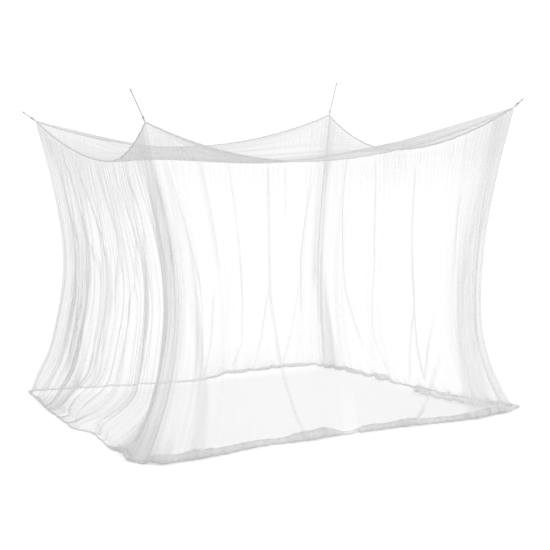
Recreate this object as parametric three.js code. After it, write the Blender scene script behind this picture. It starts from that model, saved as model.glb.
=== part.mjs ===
// A box-shaped camping mosquito net, hung by four corner cords with its hem lying on the ground.
// Millimetres, +Z up, origin on the ground at the middle of the hem's box.
import * as THREE from 'three';
import { mergeVertices } from 'three/addons/utils/BufferGeometryUtils.js';

// Cloth, edge tape and clearances
const NET_THICKNESS = 1.6;
const SEWN_GAP = 0.8;
const CORNER_HOLD_BACK = 2.2;
const TAPE_HEIGHT = 7;
const TAPE_DEPTH = 3;
const TAPE_END = 6;
const TAB = { length: 18, height: 10, depth: 3, round: 3, start: 5 };
const CORD = { diameter: 5, sides: 8, step: 12, gap: 0.3 };
const KNOT = { radius: 4.5, around: 8, rings: 6 };

// Where the hem meets the ground, how deep the folds start and how the waist is drawn in
const GROUND_SHARE = 0.955;
const GROUND_EASE = 0.05;
const WAIST_REACH = 0.4;
const WAIST_FADE = 1.5;
const FOLD_GROWTH = 0.35;
const FOLD_END_FADE = 0.025;
const FOLD_FOOT = 0.65;
const FOLD_FOOT_FROM = 0.8;

// Roof: how far its middle hangs below its edges, and the ridges that run in from the pulled corners
const ROOF = { columns: 16, rows: 14, belly: 44, ridge: 14, ridgeReach: 0.32, ridgeFade: 2.5, inset: 5 };
const TAPE_STEPS = 24;

// Corners: top point, where the hem ends on the ground, how far the waist is drawn in, how low the waist sits
// (1 is half way down) and the cord's run
const CORNERS = {
  front_left: { top: [-1035, -794, 1497], hem: [-1132, -920], waist: [203, 50], lean: 1.15, cord: [-123, -123, 130] },
  front_right: { top: [1032, -840, 1592], hem: [1138, -810], waist: [-206, 50], lean: 1.25, cord: [28, -28, 38] },
  back_right: { top: [976, 826, 1587], hem: [948, 862], waist: [-90, -60], lean: 1.15, cord: [135, 125, 200] },
  back_left: { top: [-954, 795, 1530], hem: [-966, 962], waist: [164, -50], lean: 1, cord: [-50, 50, 46] },
};

// Walls, anticlockwise from above: corners, sag of the top edge, where along it is lowest, and inward bow
const WALLS = {
  front: { from: 'front_left', to: 'front_right', sag: 217, low: 0.45, bow: 40, columns: 62 },
  right: { from: 'front_right', to: 'back_right', sag: 216, low: 0.57, bow: 34, columns: 46 },
  back: { from: 'back_right', to: 'back_left', sag: 168, low: 0.53, bow: 40, columns: 56 },
  left: { from: 'back_left', to: 'front_left', sag: 190, low: 0.64, bow: 34, columns: 50 },
};

// Rows of cloth from the top edge (0) to the hem (1), closer together where the cloth turns on the ground
const DROP_SHARES = [0, 0.08, 0.18, 0.3, 0.42, 0.54, 0.66, 0.77, 0.86, 0.92, 0.96, 1];

// Hem line: how far it lies outside the straight line between its corners, at shares along the wall
const HEM_OUT = {
  front: [
    { at: 0, out: 0 },
    { at: 0.04, out: 45 },
    { at: 0.12, out: 60 },
    { at: 0.3, out: 20 },
    { at: 0.4, out: 50 },
    { at: 0.47, out: 30 },
    { at: 0.6, out: 45 },
    { at: 0.83, out: 100 },
    { at: 0.93, out: 70 },
    { at: 1, out: 0 },
  ],
  right: [
    { at: 0, out: 0 },
    { at: 0.2, out: 10 },
    { at: 0.3, out: -5 },
    { at: 0.49, out: -40 },
    { at: 0.72, out: 0 },
    { at: 0.87, out: 20 },
    { at: 1, out: 0 },
  ],
  back: [
    { at: 0, out: 0 },
    { at: 0.05, out: 70 },
    { at: 0.1, out: 75 },
    { at: 0.33, out: 30 },
    { at: 0.46, out: -100 },
    { at: 0.5, out: -115 },
    { at: 0.65, out: -85 },
    { at: 0.9, out: 5 },
    { at: 0.95, out: 25 },
    { at: 1, out: 0 },
  ],
  left: [
    { at: 0, out: 0 },
    { at: 0.05, out: 15 },
    { at: 0.35, out: 50 },
    { at: 0.55, out: 60 },
    { at: 0.64, out: 5 },
    { at: 0.72, out: 15 },
    { at: 0.81, out: 30 },
    { at: 0.88, out: 15 },
    { at: 0.95, out: 10 },
    { at: 1, out: 0 },
  ],
};

// Folds: share along the wall at the top and at the foot, half width and depth, ridges out and troughs in
const FOLDS = {
  front: [
    { at: 0.032, foot: 0.04, width: 50, depth: 34 },
    { at: 0.075, foot: 0.085, width: 52, depth: -32 },
    { at: 0.12, foot: 0.13, width: 56, depth: 26 },
    { at: 0.18, foot: 0.2, width: 80, depth: -15 },
    { at: 0.29, foot: 0.385, width: 64, depth: -22 },
    { at: 0.4, foot: 0.46, width: 105, depth: 15 },
    { at: 0.53, foot: 0.54, width: 95, depth: -18 },
    { at: 0.65, foot: 0.66, width: 100, depth: 14 },
    { at: 0.77, foot: 0.73, width: 75, depth: -20 },
    { at: 0.84, foot: 0.82, width: 70, depth: 22 },
    { at: 0.895, foot: 0.885, width: 58, depth: -26 },
    { at: 0.94, foot: 0.935, width: 52, depth: 30 },
    { at: 0.974, foot: 0.97, width: 44, depth: -24 },
  ],
  right: [
    { at: 0.04, foot: 0.05, width: 52, depth: 28 },
    { at: 0.1, foot: 0.11, width: 60, depth: -26 },
    { at: 0.19, foot: 0.2, width: 78, depth: 24 },
    { at: 0.31, foot: 0.3, width: 82, depth: -26 },
    { at: 0.43, foot: 0.41, width: 90, depth: 20 },
    { at: 0.54, foot: 0.52, width: 70, depth: -24 },
    { at: 0.66, foot: 0.65, width: 90, depth: 22 },
    { at: 0.79, foot: 0.79, width: 78, depth: -26 },
    { at: 0.89, foot: 0.89, width: 66, depth: 26 },
    { at: 0.96, foot: 0.955, width: 50, depth: -22 },
  ],
  back: [
    { at: 0.03, foot: 0.035, width: 52, depth: 30 },
    { at: 0.08, foot: 0.085, width: 58, depth: -24 },
    { at: 0.19, foot: 0.16, width: 90, depth: 16 },
    { at: 0.31, foot: 0.3, width: 80, depth: -22 },
    { at: 0.43, foot: 0.43, width: 105, depth: 16 },
    { at: 0.55, foot: 0.58, width: 78, depth: -20 },
    { at: 0.67, foot: 0.7, width: 95, depth: 18 },
    { at: 0.79, foot: 0.8, width: 76, depth: -22 },
    { at: 0.89, foot: 0.89, width: 70, depth: 26 },
    { at: 0.955, foot: 0.95, width: 52, depth: -24 },
  ],
  left: [
    { at: 0.045, foot: 0.05, width: 54, depth: 26 },
    { at: 0.11, foot: 0.1, width: 60, depth: -30 },
    { at: 0.18, foot: 0.17, width: 62, depth: 28 },
    { at: 0.25, foot: 0.235, width: 62, depth: -34 },
    { at: 0.33, foot: 0.31, width: 70, depth: 30 },
    { at: 0.41, foot: 0.38, width: 64, depth: -28 },
    { at: 0.49, foot: 0.46, width: 66, depth: 32 },
    { at: 0.565, foot: 0.54, width: 60, depth: -34 },
    { at: 0.64, foot: 0.61, width: 62, depth: 28 },
    { at: 0.72, foot: 0.69, width: 66, depth: -32 },
    { at: 0.8, foot: 0.78, width: 68, depth: 36 },
    { at: 0.88, foot: 0.86, width: 60, depth: -30 },
    { at: 0.95, foot: 0.945, width: 52, depth: 34 },
  ],
};

const NET_FINISH = { color: 0xf3f5f6, roughness: 0.92, metalness: 0 };
const TAPE_FINISH = { color: 0xe4e7e9, roughness: 0.85, metalness: 0 };
const CORD_FINISH = { color: 0xe9e8e3, roughness: 0.8, metalness: 0 };

const UP = new THREE.Vector3(0, 0, 1);
const SLOPE_STEP = 1e-3;
const EDGE_SHARE = 1e-4;
const WELD = 1e-4;
const BOX_BACK = 5;
const { clamp, lerp, smoothstep } = THREE.MathUtils;

// Value of a named column between the rows of a table, eased from row to row
function between(rows, column, share) {
  const last = rows.findIndex((row) => row.at >= share);
  const b = rows[Math.max(last, 1)];
  const a = rows[Math.max(last, 1) - 1];
  return lerp(a[column], b[column], smoothstep(share, a.at, b.at));
}

function cornerTop(name) {
  return new THREE.Vector3(...CORNERS[name].top);
}

// Level direction that faces out of a wall
function outward(wall) {
  const run = cornerTop(wall.to).sub(cornerTop(wall.from)).setZ(0).normalize();
  return run.cross(UP);
}

function wallLength(wall) {
  return cornerTop(wall.from).distanceTo(cornerTop(wall.to));
}

// How far a top edge hangs below the straight line between its corners
function seamSag(wall, share) {
  const reach = share < wall.low ? wall.low : 1 - wall.low;
  return wall.sag * (1 - ((share - wall.low) / reach) ** 2);
}

// How far a top edge is drawn in from that line
function seamBow(wall, share) {
  return wall.bow * 4 * share * (1 - share);
}

// The sewn top edge of a wall, which is also an edge of the roof
function seamPoint(wall, share) {
  const point = cornerTop(wall.from).lerp(cornerTop(wall.to), share);
  point.addScaledVector(outward(wall), -seamBow(wall, share));
  point.z -= seamSag(wall, share);
  return point;
}

function hemPoint(name, share) {
  const wall = WALLS[name];
  const from = CORNERS[wall.from].hem;
  const to = CORNERS[wall.to].hem;
  const point = new THREE.Vector3(lerp(from[0], to[0], share), lerp(from[1], to[1], share), 0);
  return point.addScaledVector(outward(wall), between(HEM_OUT[name], 'out', share));
}

// Depth of all the folds of a wall at one place, none at its top edge and at its corners
function foldDepth(name, share, drop) {
  const length = wallLength(WALLS[name]);
  let depth = 0;
  for (const fold of FOLDS[name]) {
    const middle = lerp(fold.at, fold.foot, drop);
    const nearness = 1 - Math.abs(share - middle) * length / fold.width;
    depth += fold.depth * smoothstep(nearness, 0, 1);
  }
  const ends = smoothstep(Math.min(share, 1 - share), 0, FOLD_END_FADE);
  const foot = lerp(1, FOLD_FOOT, smoothstep(drop, FOLD_FOOT_FROM, 1));
  return depth * ends * foot * smoothstep(drop, 0, FOLD_GROWTH);
}

// Height left at a share of the drop: a straight fall that turns softly onto the ground
function heightShare(drop) {
  const above = 1 - drop / GROUND_SHARE;
  const eased = (above + Math.hypot(above, GROUND_EASE)) / 2;
  const top = (1 + Math.hypot(1, GROUND_EASE)) / 2;
  const foot = 1 - 1 / GROUND_SHARE;
  const rest = (foot + Math.hypot(foot, GROUND_EASE)) / 2;
  return (eased - rest) / (top - rest);
}

// A corner's draw-in at a place on a wall. It fades evenly across the wall, and faster along it.
function waistPull(wall, corner, nearness, drop) {
  const pull = new THREE.Vector3(corner.waist[0], corner.waist[1], 0);
  pull.multiplyScalar(Math.sin(Math.PI * drop ** corner.lean));
  const out = outward(wall);
  const run = UP.clone().cross(out);
  const gathered = Math.max(1 - (1 - nearness) / WAIST_REACH, 0) ** WAIST_FADE;
  const across = out.multiplyScalar(pull.dot(out) * nearness);
  return across.addScaledVector(run, pull.dot(run) * gathered);
}

function wallPoint(name, share, drop) {
  const wall = WALLS[name];
  const top = seamPoint(wall, share);
  const hem = hemPoint(name, share);
  const point = top.clone().lerp(hem, drop);
  point.add(waistPull(wall, CORNERS[wall.from], 1 - share, drop));
  point.add(waistPull(wall, CORNERS[wall.to], share, drop));
  point.addScaledVector(outward(wall), foldDepth(name, share, drop));
  const start = top.z - TAPE_HEIGHT / 2 - SEWN_GAP;
  point.z = lerp(NET_THICKNESS / 2, start, heightShare(drop));
  return point;
}

// The roof between its four sagging edges, at shares from left to right and from front to back
function roofPoint(across, back) {
  const edges = [
    { wall: WALLS.front, share: across, away: back },
    { wall: WALLS.right, share: back, away: 1 - across },
    { wall: WALLS.back, share: 1 - across, away: 1 - back },
    { wall: WALLS.left, share: 1 - back, away: across },
  ];
  const point = new THREE.Vector3();
  let sag = 0;
  let weights = 0;
  for (const { wall, share, away } of edges) {
    const straight = cornerTop(wall.from).lerp(cornerTop(wall.to), share);
    point.addScaledVector(straight, (1 - away) / 2);
    point.addScaledVector(outward(wall), -seamBow(wall, share) * (1 - away));
    sag += seamSag(wall, share) / away ** 2;
    weights += 1 / away ** 2;
  }
  const middle = 16 * across * (1 - across) * back * (1 - back);
  point.z += -sag / weights - ROOF.belly * middle + ROOF.ridge * cornerRidge(across, back);
  return point;
}

// One on the diagonal a little way in from a corner, fading to nothing at the edges and at the middle
function cornerRidge(across, back) {
  const a = Math.min(across, 1 - across);
  const b = Math.min(back, 1 - back);
  const reach = (a + b) / ROOF.ridgeReach;
  return 4 * a * b / (a + b) ** 2 * reach * Math.exp(1 - reach) * (1 - smoothstep(reach, 1, ROOF.ridgeFade));
}

// A closed sheet of even thickness along a surface, given where its columns and rows of points lie
function sheetGeometry(surface, columns, rows, thickness) {
  const box = new THREE.BoxGeometry(1, 1, 1, columns.length - 1, rows.length - 1, 1);
  const places = box.attributes.position;
  for (let i = 0; i < places.count; i += 1) {
    const u = columns[Math.round((places.getX(i) + 0.5) * (columns.length - 1))];
    const v = rows[Math.round((0.5 - places.getY(i)) * (rows.length - 1))];
    const along = surface(Math.min(u + SLOPE_STEP, 1), v).sub(surface(Math.max(u - SLOPE_STEP, 0), v));
    const upward = surface(u, Math.max(v - SLOPE_STEP, 0)).sub(surface(u, Math.min(v + SLOPE_STEP, 1)));
    const normal = along.cross(upward).normalize();
    const point = surface(u, v).addScaledVector(normal, places.getZ(i) * thickness);
    places.setXYZ(i, point.x, point.y, point.z);
  }
  splitAlike(box);
  return closed(box);
}

// Splits the squares of the inner side on the same diagonals as the outer side, so that the two never cross
function splitAlike(box) {
  const corners = box.index;
  const inner = box.groups[BOX_BACK];
  for (let i = inner.start; i < inner.start + inner.count; i += 6) {
    const third = corners.getX(i + 4);
    corners.setX(i + 2, third);
    corners.setX(i + 3, corners.getX(i));
  }
}

// The same geometry with its shared points joined
function closed(geometry) {
  geometry.deleteAttribute('normal');
  geometry.deleteAttribute('uv');
  const joined = mergeVertices(geometry, WELD);
  joined.computeVertexNormals();
  return joined;
}

function evenShares(count, hold) {
  return Array.from({ length: count + 1 }, (_, i) => lerp(hold, 1 - hold, i / count));
}

function piece(name, geometry, finish) {
  const mesh = new THREE.Mesh(geometry, new THREE.MeshStandardMaterial(finish));
  mesh.name = name;
  return mesh;
}

function wallPiece(name) {
  const wall = WALLS[name];
  const columns = evenShares(wall.columns, CORNER_HOLD_BACK / wallLength(wall));
  const surface = (share, drop) => wallPoint(name, share, drop);
  return piece(`wall_${name}`, sheetGeometry(surface, columns, DROP_SHARES, NET_THICKNESS), NET_FINISH);
}

function roofPiece() {
  const across = evenShares(ROOF.columns, ROOF.inset / wallLength(WALLS.front));
  const forward = evenShares(ROOF.rows, ROOF.inset / wallLength(WALLS.right));
  const inside = (share) => clamp(share, EDGE_SHARE, 1 - EDGE_SHARE);
  const surface = (a, b) => roofPoint(inside(a), inside(1 - b));
  return piece('roof', sheetGeometry(surface, across, forward, NET_THICKNESS), NET_FINISH);
}

// Folded tape that binds the roof to a wall
function tapePiece(name) {
  const wall = WALLS[name];
  const columns = evenShares(TAPE_STEPS, TAPE_END / wallLength(wall));
  const surface = (share, drop) => seamPoint(wall, share).addScaledVector(UP, (0.5 - drop) * TAPE_HEIGHT);
  return piece(`tape_${name}`, sheetGeometry(surface, columns, [0, 1], TAPE_DEPTH), TAPE_FINISH);
}

// Local X along the cord, local Y level, for the tab, cord and knot of one corner
function cornerGroup(name) {
  const group = new THREE.Group();
  const run = new THREE.Vector3(...CORNERS[name].cord);
  const along = run.clone().normalize();
  const level = UP.clone().cross(along).normalize();
  const rise = along.clone().cross(level);
  group.position.copy(cornerTop(name));
  group.quaternion.setFromRotationMatrix(new THREE.Matrix4().makeBasis(along, level, rise));
  group.add(tabPiece(name), cordPiece(name, run.length()), knotPiece(name, run.length()));
  return group;
}

// Doubled tape sewn into the corner, with round ends
function tabPiece(name) {
  const { length, height, depth, round, start } = TAB;
  const shape = new THREE.Shape();
  const top = height / 2;
  shape.moveTo(start + round, -top);
  shape.lineTo(start + length - round, -top);
  shape.absarc(start + length - round, -top + round, round, -Math.PI / 2, 0);
  shape.absarc(start + length - round, top - round, round, 0, Math.PI / 2);
  shape.absarc(start + round, top - round, round, Math.PI / 2, Math.PI);
  shape.absarc(start + round, -top + round, round, Math.PI, Math.PI * 1.5);
  const plate = new THREE.ExtrudeGeometry(shape, { depth, bevelEnabled: false, curveSegments: 2 });
  plate.translate(0, 0, -depth / 2);
  plate.rotateX(Math.PI / 2);
  return piece(`tab_${name}`, closed(plate), TAPE_FINISH);
}

function cordPiece(name, run) {
  const start = TAB.start + TAB.length + CORD.gap;
  const end = run - KNOT.radius - CORD.gap;
  const section = new THREE.Shape();
  section.absarc(0, 0, CORD.diameter / 2, 0, 2 * Math.PI);
  const path = new THREE.LineCurve3(new THREE.Vector3(start, 0, 0), new THREE.Vector3(end, 0, 0));
  const steps = Math.round((end - start) / CORD.step);
  const options = { steps, curveSegments: CORD.sides / 2, extrudePath: path, bevelEnabled: false };
  return piece(`cord_${name}`, closed(new THREE.ExtrudeGeometry(section, options)), CORD_FINISH);
}

function knotPiece(name, run) {
  const ball = new THREE.SphereGeometry(KNOT.radius, KNOT.around, KNOT.rings);
  ball.translate(run, 0, 0);
  return piece(`knot_${name}`, closed(ball), CORD_FINISH);
}

const net = new THREE.Group();
net.add(roofPiece());
for (const name of Object.keys(WALLS)) {
  net.add(wallPiece(name), tapePiece(name));
}
for (const name of Object.keys(CORNERS)) {
  net.add(cornerGroup(name));
}

export default net;
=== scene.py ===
"""Dresses a hung camping mosquito net: sheer panels with their folds, bound edges, corner tabs and cords."""
import math

import bpy
import numpy as np
from bpy.props import FloatProperty, FloatVectorProperty, PointerProperty
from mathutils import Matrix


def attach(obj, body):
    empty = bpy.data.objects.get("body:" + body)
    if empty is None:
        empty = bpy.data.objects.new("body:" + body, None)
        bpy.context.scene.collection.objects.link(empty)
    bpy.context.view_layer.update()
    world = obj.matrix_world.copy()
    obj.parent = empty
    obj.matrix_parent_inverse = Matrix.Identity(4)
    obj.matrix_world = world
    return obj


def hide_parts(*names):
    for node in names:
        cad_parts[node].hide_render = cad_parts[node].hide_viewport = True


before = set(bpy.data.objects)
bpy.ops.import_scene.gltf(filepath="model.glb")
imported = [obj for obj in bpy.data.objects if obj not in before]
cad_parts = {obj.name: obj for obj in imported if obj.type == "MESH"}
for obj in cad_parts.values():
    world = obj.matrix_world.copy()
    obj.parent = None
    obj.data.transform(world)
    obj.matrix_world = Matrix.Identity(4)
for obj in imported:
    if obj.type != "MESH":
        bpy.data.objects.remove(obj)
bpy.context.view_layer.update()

bl_info = {
    "name": "Camping mosquito net",
    "version": (1, 0, 0),
    "blender": (4, 5, 0),
    "location": "View3D > Sidebar > Net",
    "description": "Sheer box net with bound edges, corner tabs, knotted cords and a hem on the ground",
    "category": "Object",
}

# Corners of the hung net in metres: top point, hem end on the ground, draw-in at the waist, run of the cord
CORNERS = {
    "front_left": {
        "top": (-1.035, -0.794, 1.497), "hem": (-1.132, -0.920, 0.0), "waist": (0.203, 0.050, 0.0),
        "cord": (-0.123, -0.123, 0.130),
    },
    "front_right": {
        "top": (1.032, -0.840, 1.592), "hem": (1.138, -0.810, 0.0), "waist": (-0.206, 0.050, 0.0),
        "cord": (0.028, -0.028, 0.038),
    },
    "back_right": {
        "top": (0.976, 0.826, 1.587), "hem": (0.948, 0.862, 0.0), "waist": (-0.090, -0.060, 0.0),
        "cord": (0.135, 0.125, 0.200),
    },
    "back_left": {
        "top": (-0.954, 0.795, 1.530), "hem": (-0.966, 0.962, 0.0), "waist": (0.164, -0.050, 0.0),
        "cord": (-0.050, 0.050, 0.046),
    },
}

# Share of the waist at work at shares down the corner, where it isn't an even bow
DRAW = {
    "front_right": (
        (0, 0), (0.2, 0.48), (0.4, 0.84), (0.6, 1), (0.7, 0.97), (0.8, 0.76), (0.9, 0.41), (1, 0),
    ),
    "back_left": (
        (0, 0), (0.2, 0.54), (0.4, 0.93), (0.5, 1), (0.7, 0.81), (0.8, 0.6), (0.9, 0.21), (1, 0),
    ),
}

# Walls, anticlockwise from above: corners, sag of the top edge, where it is lowest, bow, cloth and seed
WALLS = {
    "front": {
        "ends": ("front_left", "front_right"), "sag": 0.217, "low": 0.45, "bow": 0.040,
        "cloth": (2.3, 1.8), "seed": 11,
    },
    "right": {
        "ends": ("front_right", "back_right"), "sag": 0.216, "low": 0.57, "bow": 0.034,
        "cloth": (1.86, 1.8), "seed": 23,
    },
    "back": {
        "ends": ("back_right", "back_left"), "sag": 0.168, "low": 0.53, "bow": 0.040,
        "cloth": (2.15, 1.8), "seed": 37,
    },
    "left": {
        "ends": ("back_left", "front_left"), "sag": 0.190, "low": 0.64, "bow": 0.034,
        "cloth": (1.95, 1.8), "seed": 53,
    },
}

# Hem line: share along the wall, and how far it lies outside the straight line between the corners
HEM_OUT = {
    "front": (
        (0, 0), (0.04, 0.075), (0.12, 0.075), (0.3, 0.02), (0.4, 0.05), (0.47, 0.03), (0.6, 0.045),
        (0.83, 0.1), (0.93, 0.07), (1, 0),
    ),
    "right": ((0, 0), (0.2, 0.01), (0.3, -0.005), (0.49, -0.04), (0.72, 0), (0.87, 0.02), (1, 0)),
    "back": (
        (0, 0), (0.05, 0.07), (0.1, 0.075), (0.33, 0.03), (0.46, -0.1), (0.5, -0.115), (0.65, -0.085),
        (0.9, -0.01), (0.95, 0.015), (1, 0),
    ),
    "left": (
        (0, 0), (0.05, 0.015), (0.35, 0.05), (0.55, 0.06), (0.64, 0.005), (0.72, 0.015), (0.81, 0.03),
        (0.88, 0.015), (0.95, 0.035), (1, 0),
    ),
}

# Radius of the loose roll that the hem lies in on the ground, at shares along the wall
HEM_ROLL = {
    "front": (
        (0, 0.012), (0.03, 0.027), (0.12, 0.025), (0.3, 0.021), (0.43, 0.031), (0.485, 0.015),
        (0.62, 0.024), (0.7, 0.021), (0.88, 0.025), (1, 0.013),
    ),
    "right": (
        (0, 0.012), (0.12, 0.019), (0.26, 0.014), (0.37, 0.022), (0.44, 0.007), (0.56, 0.007),
        (0.63, 0.022), (0.72, 0.015), (0.85, 0.016), (1, 0.012),
    ),
    "back": ((0, 0.010), (0.1, 0.014), (0.3, 0.011), (0.6, 0.006), (1, 0.006)),
    "left": (
        (0, 0.006), (0.15, 0.009), (0.3, 0.006), (0.6, 0.005), (0.85, 0.005), (0.95, 0.014), (1, 0.012),
    ),
}

# How far inside the hem line the roll lies, at shares along the wall, where slack cloth doubles back
FLAP = {"right": ((0, 0), (0.1, 0.155), (0.22, 0.17), (0.35, 0.13), (0.47, 0), (1, 0))}

# Large folds: share along the wall at the top and at the foot, half width and depth, out or in
FOLDS = {
    "front": (
        (0.032, 0.04, 0.050, 0.034), (0.075, 0.085, 0.052, -0.032), (0.12, 0.13, 0.056, 0.026),
        (0.18, 0.2, 0.080, -0.015), (0.4, 0.46, 0.105, 0.010), (0.53, 0.54, 0.095, -0.012),
        (0.65, 0.66, 0.100, 0.010), (0.77, 0.73, 0.075, -0.012), (0.84, 0.82, 0.070, 0.018),
        (0.895, 0.885, 0.058, -0.026), (0.94, 0.935, 0.052, 0.030), (0.974, 0.97, 0.044, -0.024),
    ),
    "right": (
        (0.04, 0.05, 0.052, 0.028), (0.1, 0.11, 0.060, -0.026), (0.19, 0.2, 0.078, 0.020),
        (0.31, 0.3, 0.082, -0.018), (0.54, 0.52, 0.070, -0.014), (0.66, 0.65, 0.090, 0.012),
        (0.79, 0.79, 0.078, -0.018), (0.89, 0.89, 0.066, 0.026), (0.96, 0.955, 0.050, -0.022),
    ),
    "back": (
        (0.03, 0.035, 0.052, 0.030), (0.08, 0.085, 0.058, -0.024), (0.19, 0.16, 0.090, 0.010),
        (0.43, 0.43, 0.105, 0.010), (0.55, 0.58, 0.078, -0.014), (0.67, 0.7, 0.095, 0.014),
        (0.79, 0.8, 0.076, -0.020), (0.89, 0.89, 0.070, 0.026), (0.955, 0.95, 0.052, -0.024),
    ),
    "left": (
        (0.045, 0.05, 0.054, 0.026), (0.11, 0.1, 0.060, -0.030), (0.18, 0.17, 0.062, 0.028),
        (0.25, 0.235, 0.062, -0.034), (0.33, 0.31, 0.070, 0.030), (0.41, 0.38, 0.064, -0.028),
        (0.49, 0.46, 0.066, 0.032), (0.565, 0.54, 0.060, -0.034), (0.64, 0.61, 0.062, 0.028),
        (0.72, 0.69, 0.066, -0.032), (0.8, 0.78, 0.068, 0.036), (0.88, 0.86, 0.060, -0.030),
        (0.95, 0.945, 0.052, 0.034),
    ),
}

# Sharp creases: half width and depth, then shares down and along the wall that the crease runs through
CREASES = {
    "front": (
        (0.011, 0.012, ((0.02, 0.305), (0.45, 0.305), (0.68, 0.330), (0.85, 0.361), (0.93, 0.382))),
        (0.022, 0.012, ((0.05, 0.124), (0.2, 0.130), (0.38, 0.132))),
        (0.014, 0.014, ((0.74, 0.775), (0.85, 0.725), (0.91, 0.699), (0.97, 0.655))),
        (0.016, 0.012, ((0.1, 0.030), (0.23, 0.036), (0.35, 0.050), (0.45, 0.068))),
        (0.010, 0.008, ((0.22, 0.862), (0.48, 0.846), (0.6, 0.846), (0.78, 0.860))),
        (0.013, 0.012, ((0.1, 0.928), (0.34, 0.924), (0.5, 0.902), (0.73, 0.876), (0.88, 0.860))),
        (0.008, 0.006, ((0.0, 0.352), (0.12, 0.352), (0.2, 0.352))),
    ),
    "right": (
        (0.012, 0.012, ((0.06, 0.862), (0.24, 0.858), (0.41, 0.829), (0.59, 0.786), (0.8, 0.70))),
        (0.009, 0.009, ((0.06, 0.675), (0.3, 0.618), (0.46, 0.588), (0.75, 0.605), (0.93, 0.556))),
        (0.010, 0.012, ((0.08, 0.440), (0.32, 0.398), (0.55, 0.362), (0.7, 0.359), (0.9, 0.378))),
        (0.010, 0.009, ((0.66, 0.260), (0.72, 0.285), (0.9, 0.375))),
        (0.009, 0.008, ((0.64, 0.365), (0.72, 0.385), (0.92, 0.452))),
    ),
    "back": (
        (0.009, 0.009, ((0.05, 0.388), (0.39, 0.339), (0.67, 0.309), (0.82, 0.301), (0.93, 0.325))),
        (0.010, 0.010, ((0.64, 0.206), (0.8, 0.220), (0.97, 0.244))),
        (0.010, 0.009, ((0.15, 0.028), (0.38, 0.058), (0.5, 0.066), (0.72, 0.049))),
        (0.010, 0.010, ((0.64, 0.070), (0.8, 0.095), (0.93, 0.122))),
        (0.010, 0.008, ((0.6, 0.44), (0.8, 0.44), (0.96, 0.46))),
    ),
    "left": (
        (0.026, 0.014, ((0.02, 0.110), (0.26, 0.173), (0.48, 0.261), (0.76, 0.350))),
        (0.024, 0.014, ((0.04, 0.223), (0.28, 0.291), (0.4, 0.378), (0.66, 0.396), (0.8, 0.420))),
        (0.026, 0.016, ((0.05, 0.352), (0.2, 0.405), (0.38, 0.495), (0.6, 0.485), (0.82, 0.52))),
        (0.022, 0.012, ((0.05, 0.549), (0.24, 0.578), (0.37, 0.547), (0.55, 0.50))),
        (0.028, 0.018,
         ((0.04, 0.706), (0.24, 0.732), (0.5, 0.63), (0.75, 0.615), (0.86, 0.625), (1.1, 0.62))),
        (0.024, 0.014, ((0.04, 0.800), (0.2, 0.838), (0.5, 0.775), (0.7, 0.79))),
        (0.014, 0.016, ((0.68, 0.470), (0.79, 0.490), (0.9, 0.51), (1.1, 0.52))),
        (0.015, 0.020, ((0.74, 0.925), (0.85, 0.927), (0.93, 0.917), (1.1, 0.905))),
    ),
}

# Share of the small folds at work, at shares along the wall: most near the corners, little in the middle
PLEATS = {
    "front": (
        (0, 0.8), (0.05, 0.45), (0.1, 0.3), (0.16, 0.1), (0.3, 0.02), (0.74, 0.02), (0.86, 0.3),
        (0.95, 0.8), (1, 0.9),
    ),
    "right": ((0, 0.55), (0.08, 0.4), (0.16, 0.15), (0.3, 0.02), (0.8, 0.02), (0.92, 0.3), (1, 0.9)),
    "back": ((0, 0.9), (0.05, 0.4), (0.12, 0.05), (0.7, 0.03), (0.84, 0.3), (0.93, 0.8), (1, 0.9)),
    "left": ((0, 0.9), (0.3, 0.9), (0.6, 0.8), (1, 1)),
}

# Layers of cloth in one width of wall, where it hangs slack and where all the small folds are at work
FULLNESS = {"front": (0.9, 2.2), "right": (0.6, 2.2), "back": (0.9, 1.9), "left": (1.0, 1.45)}

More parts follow.
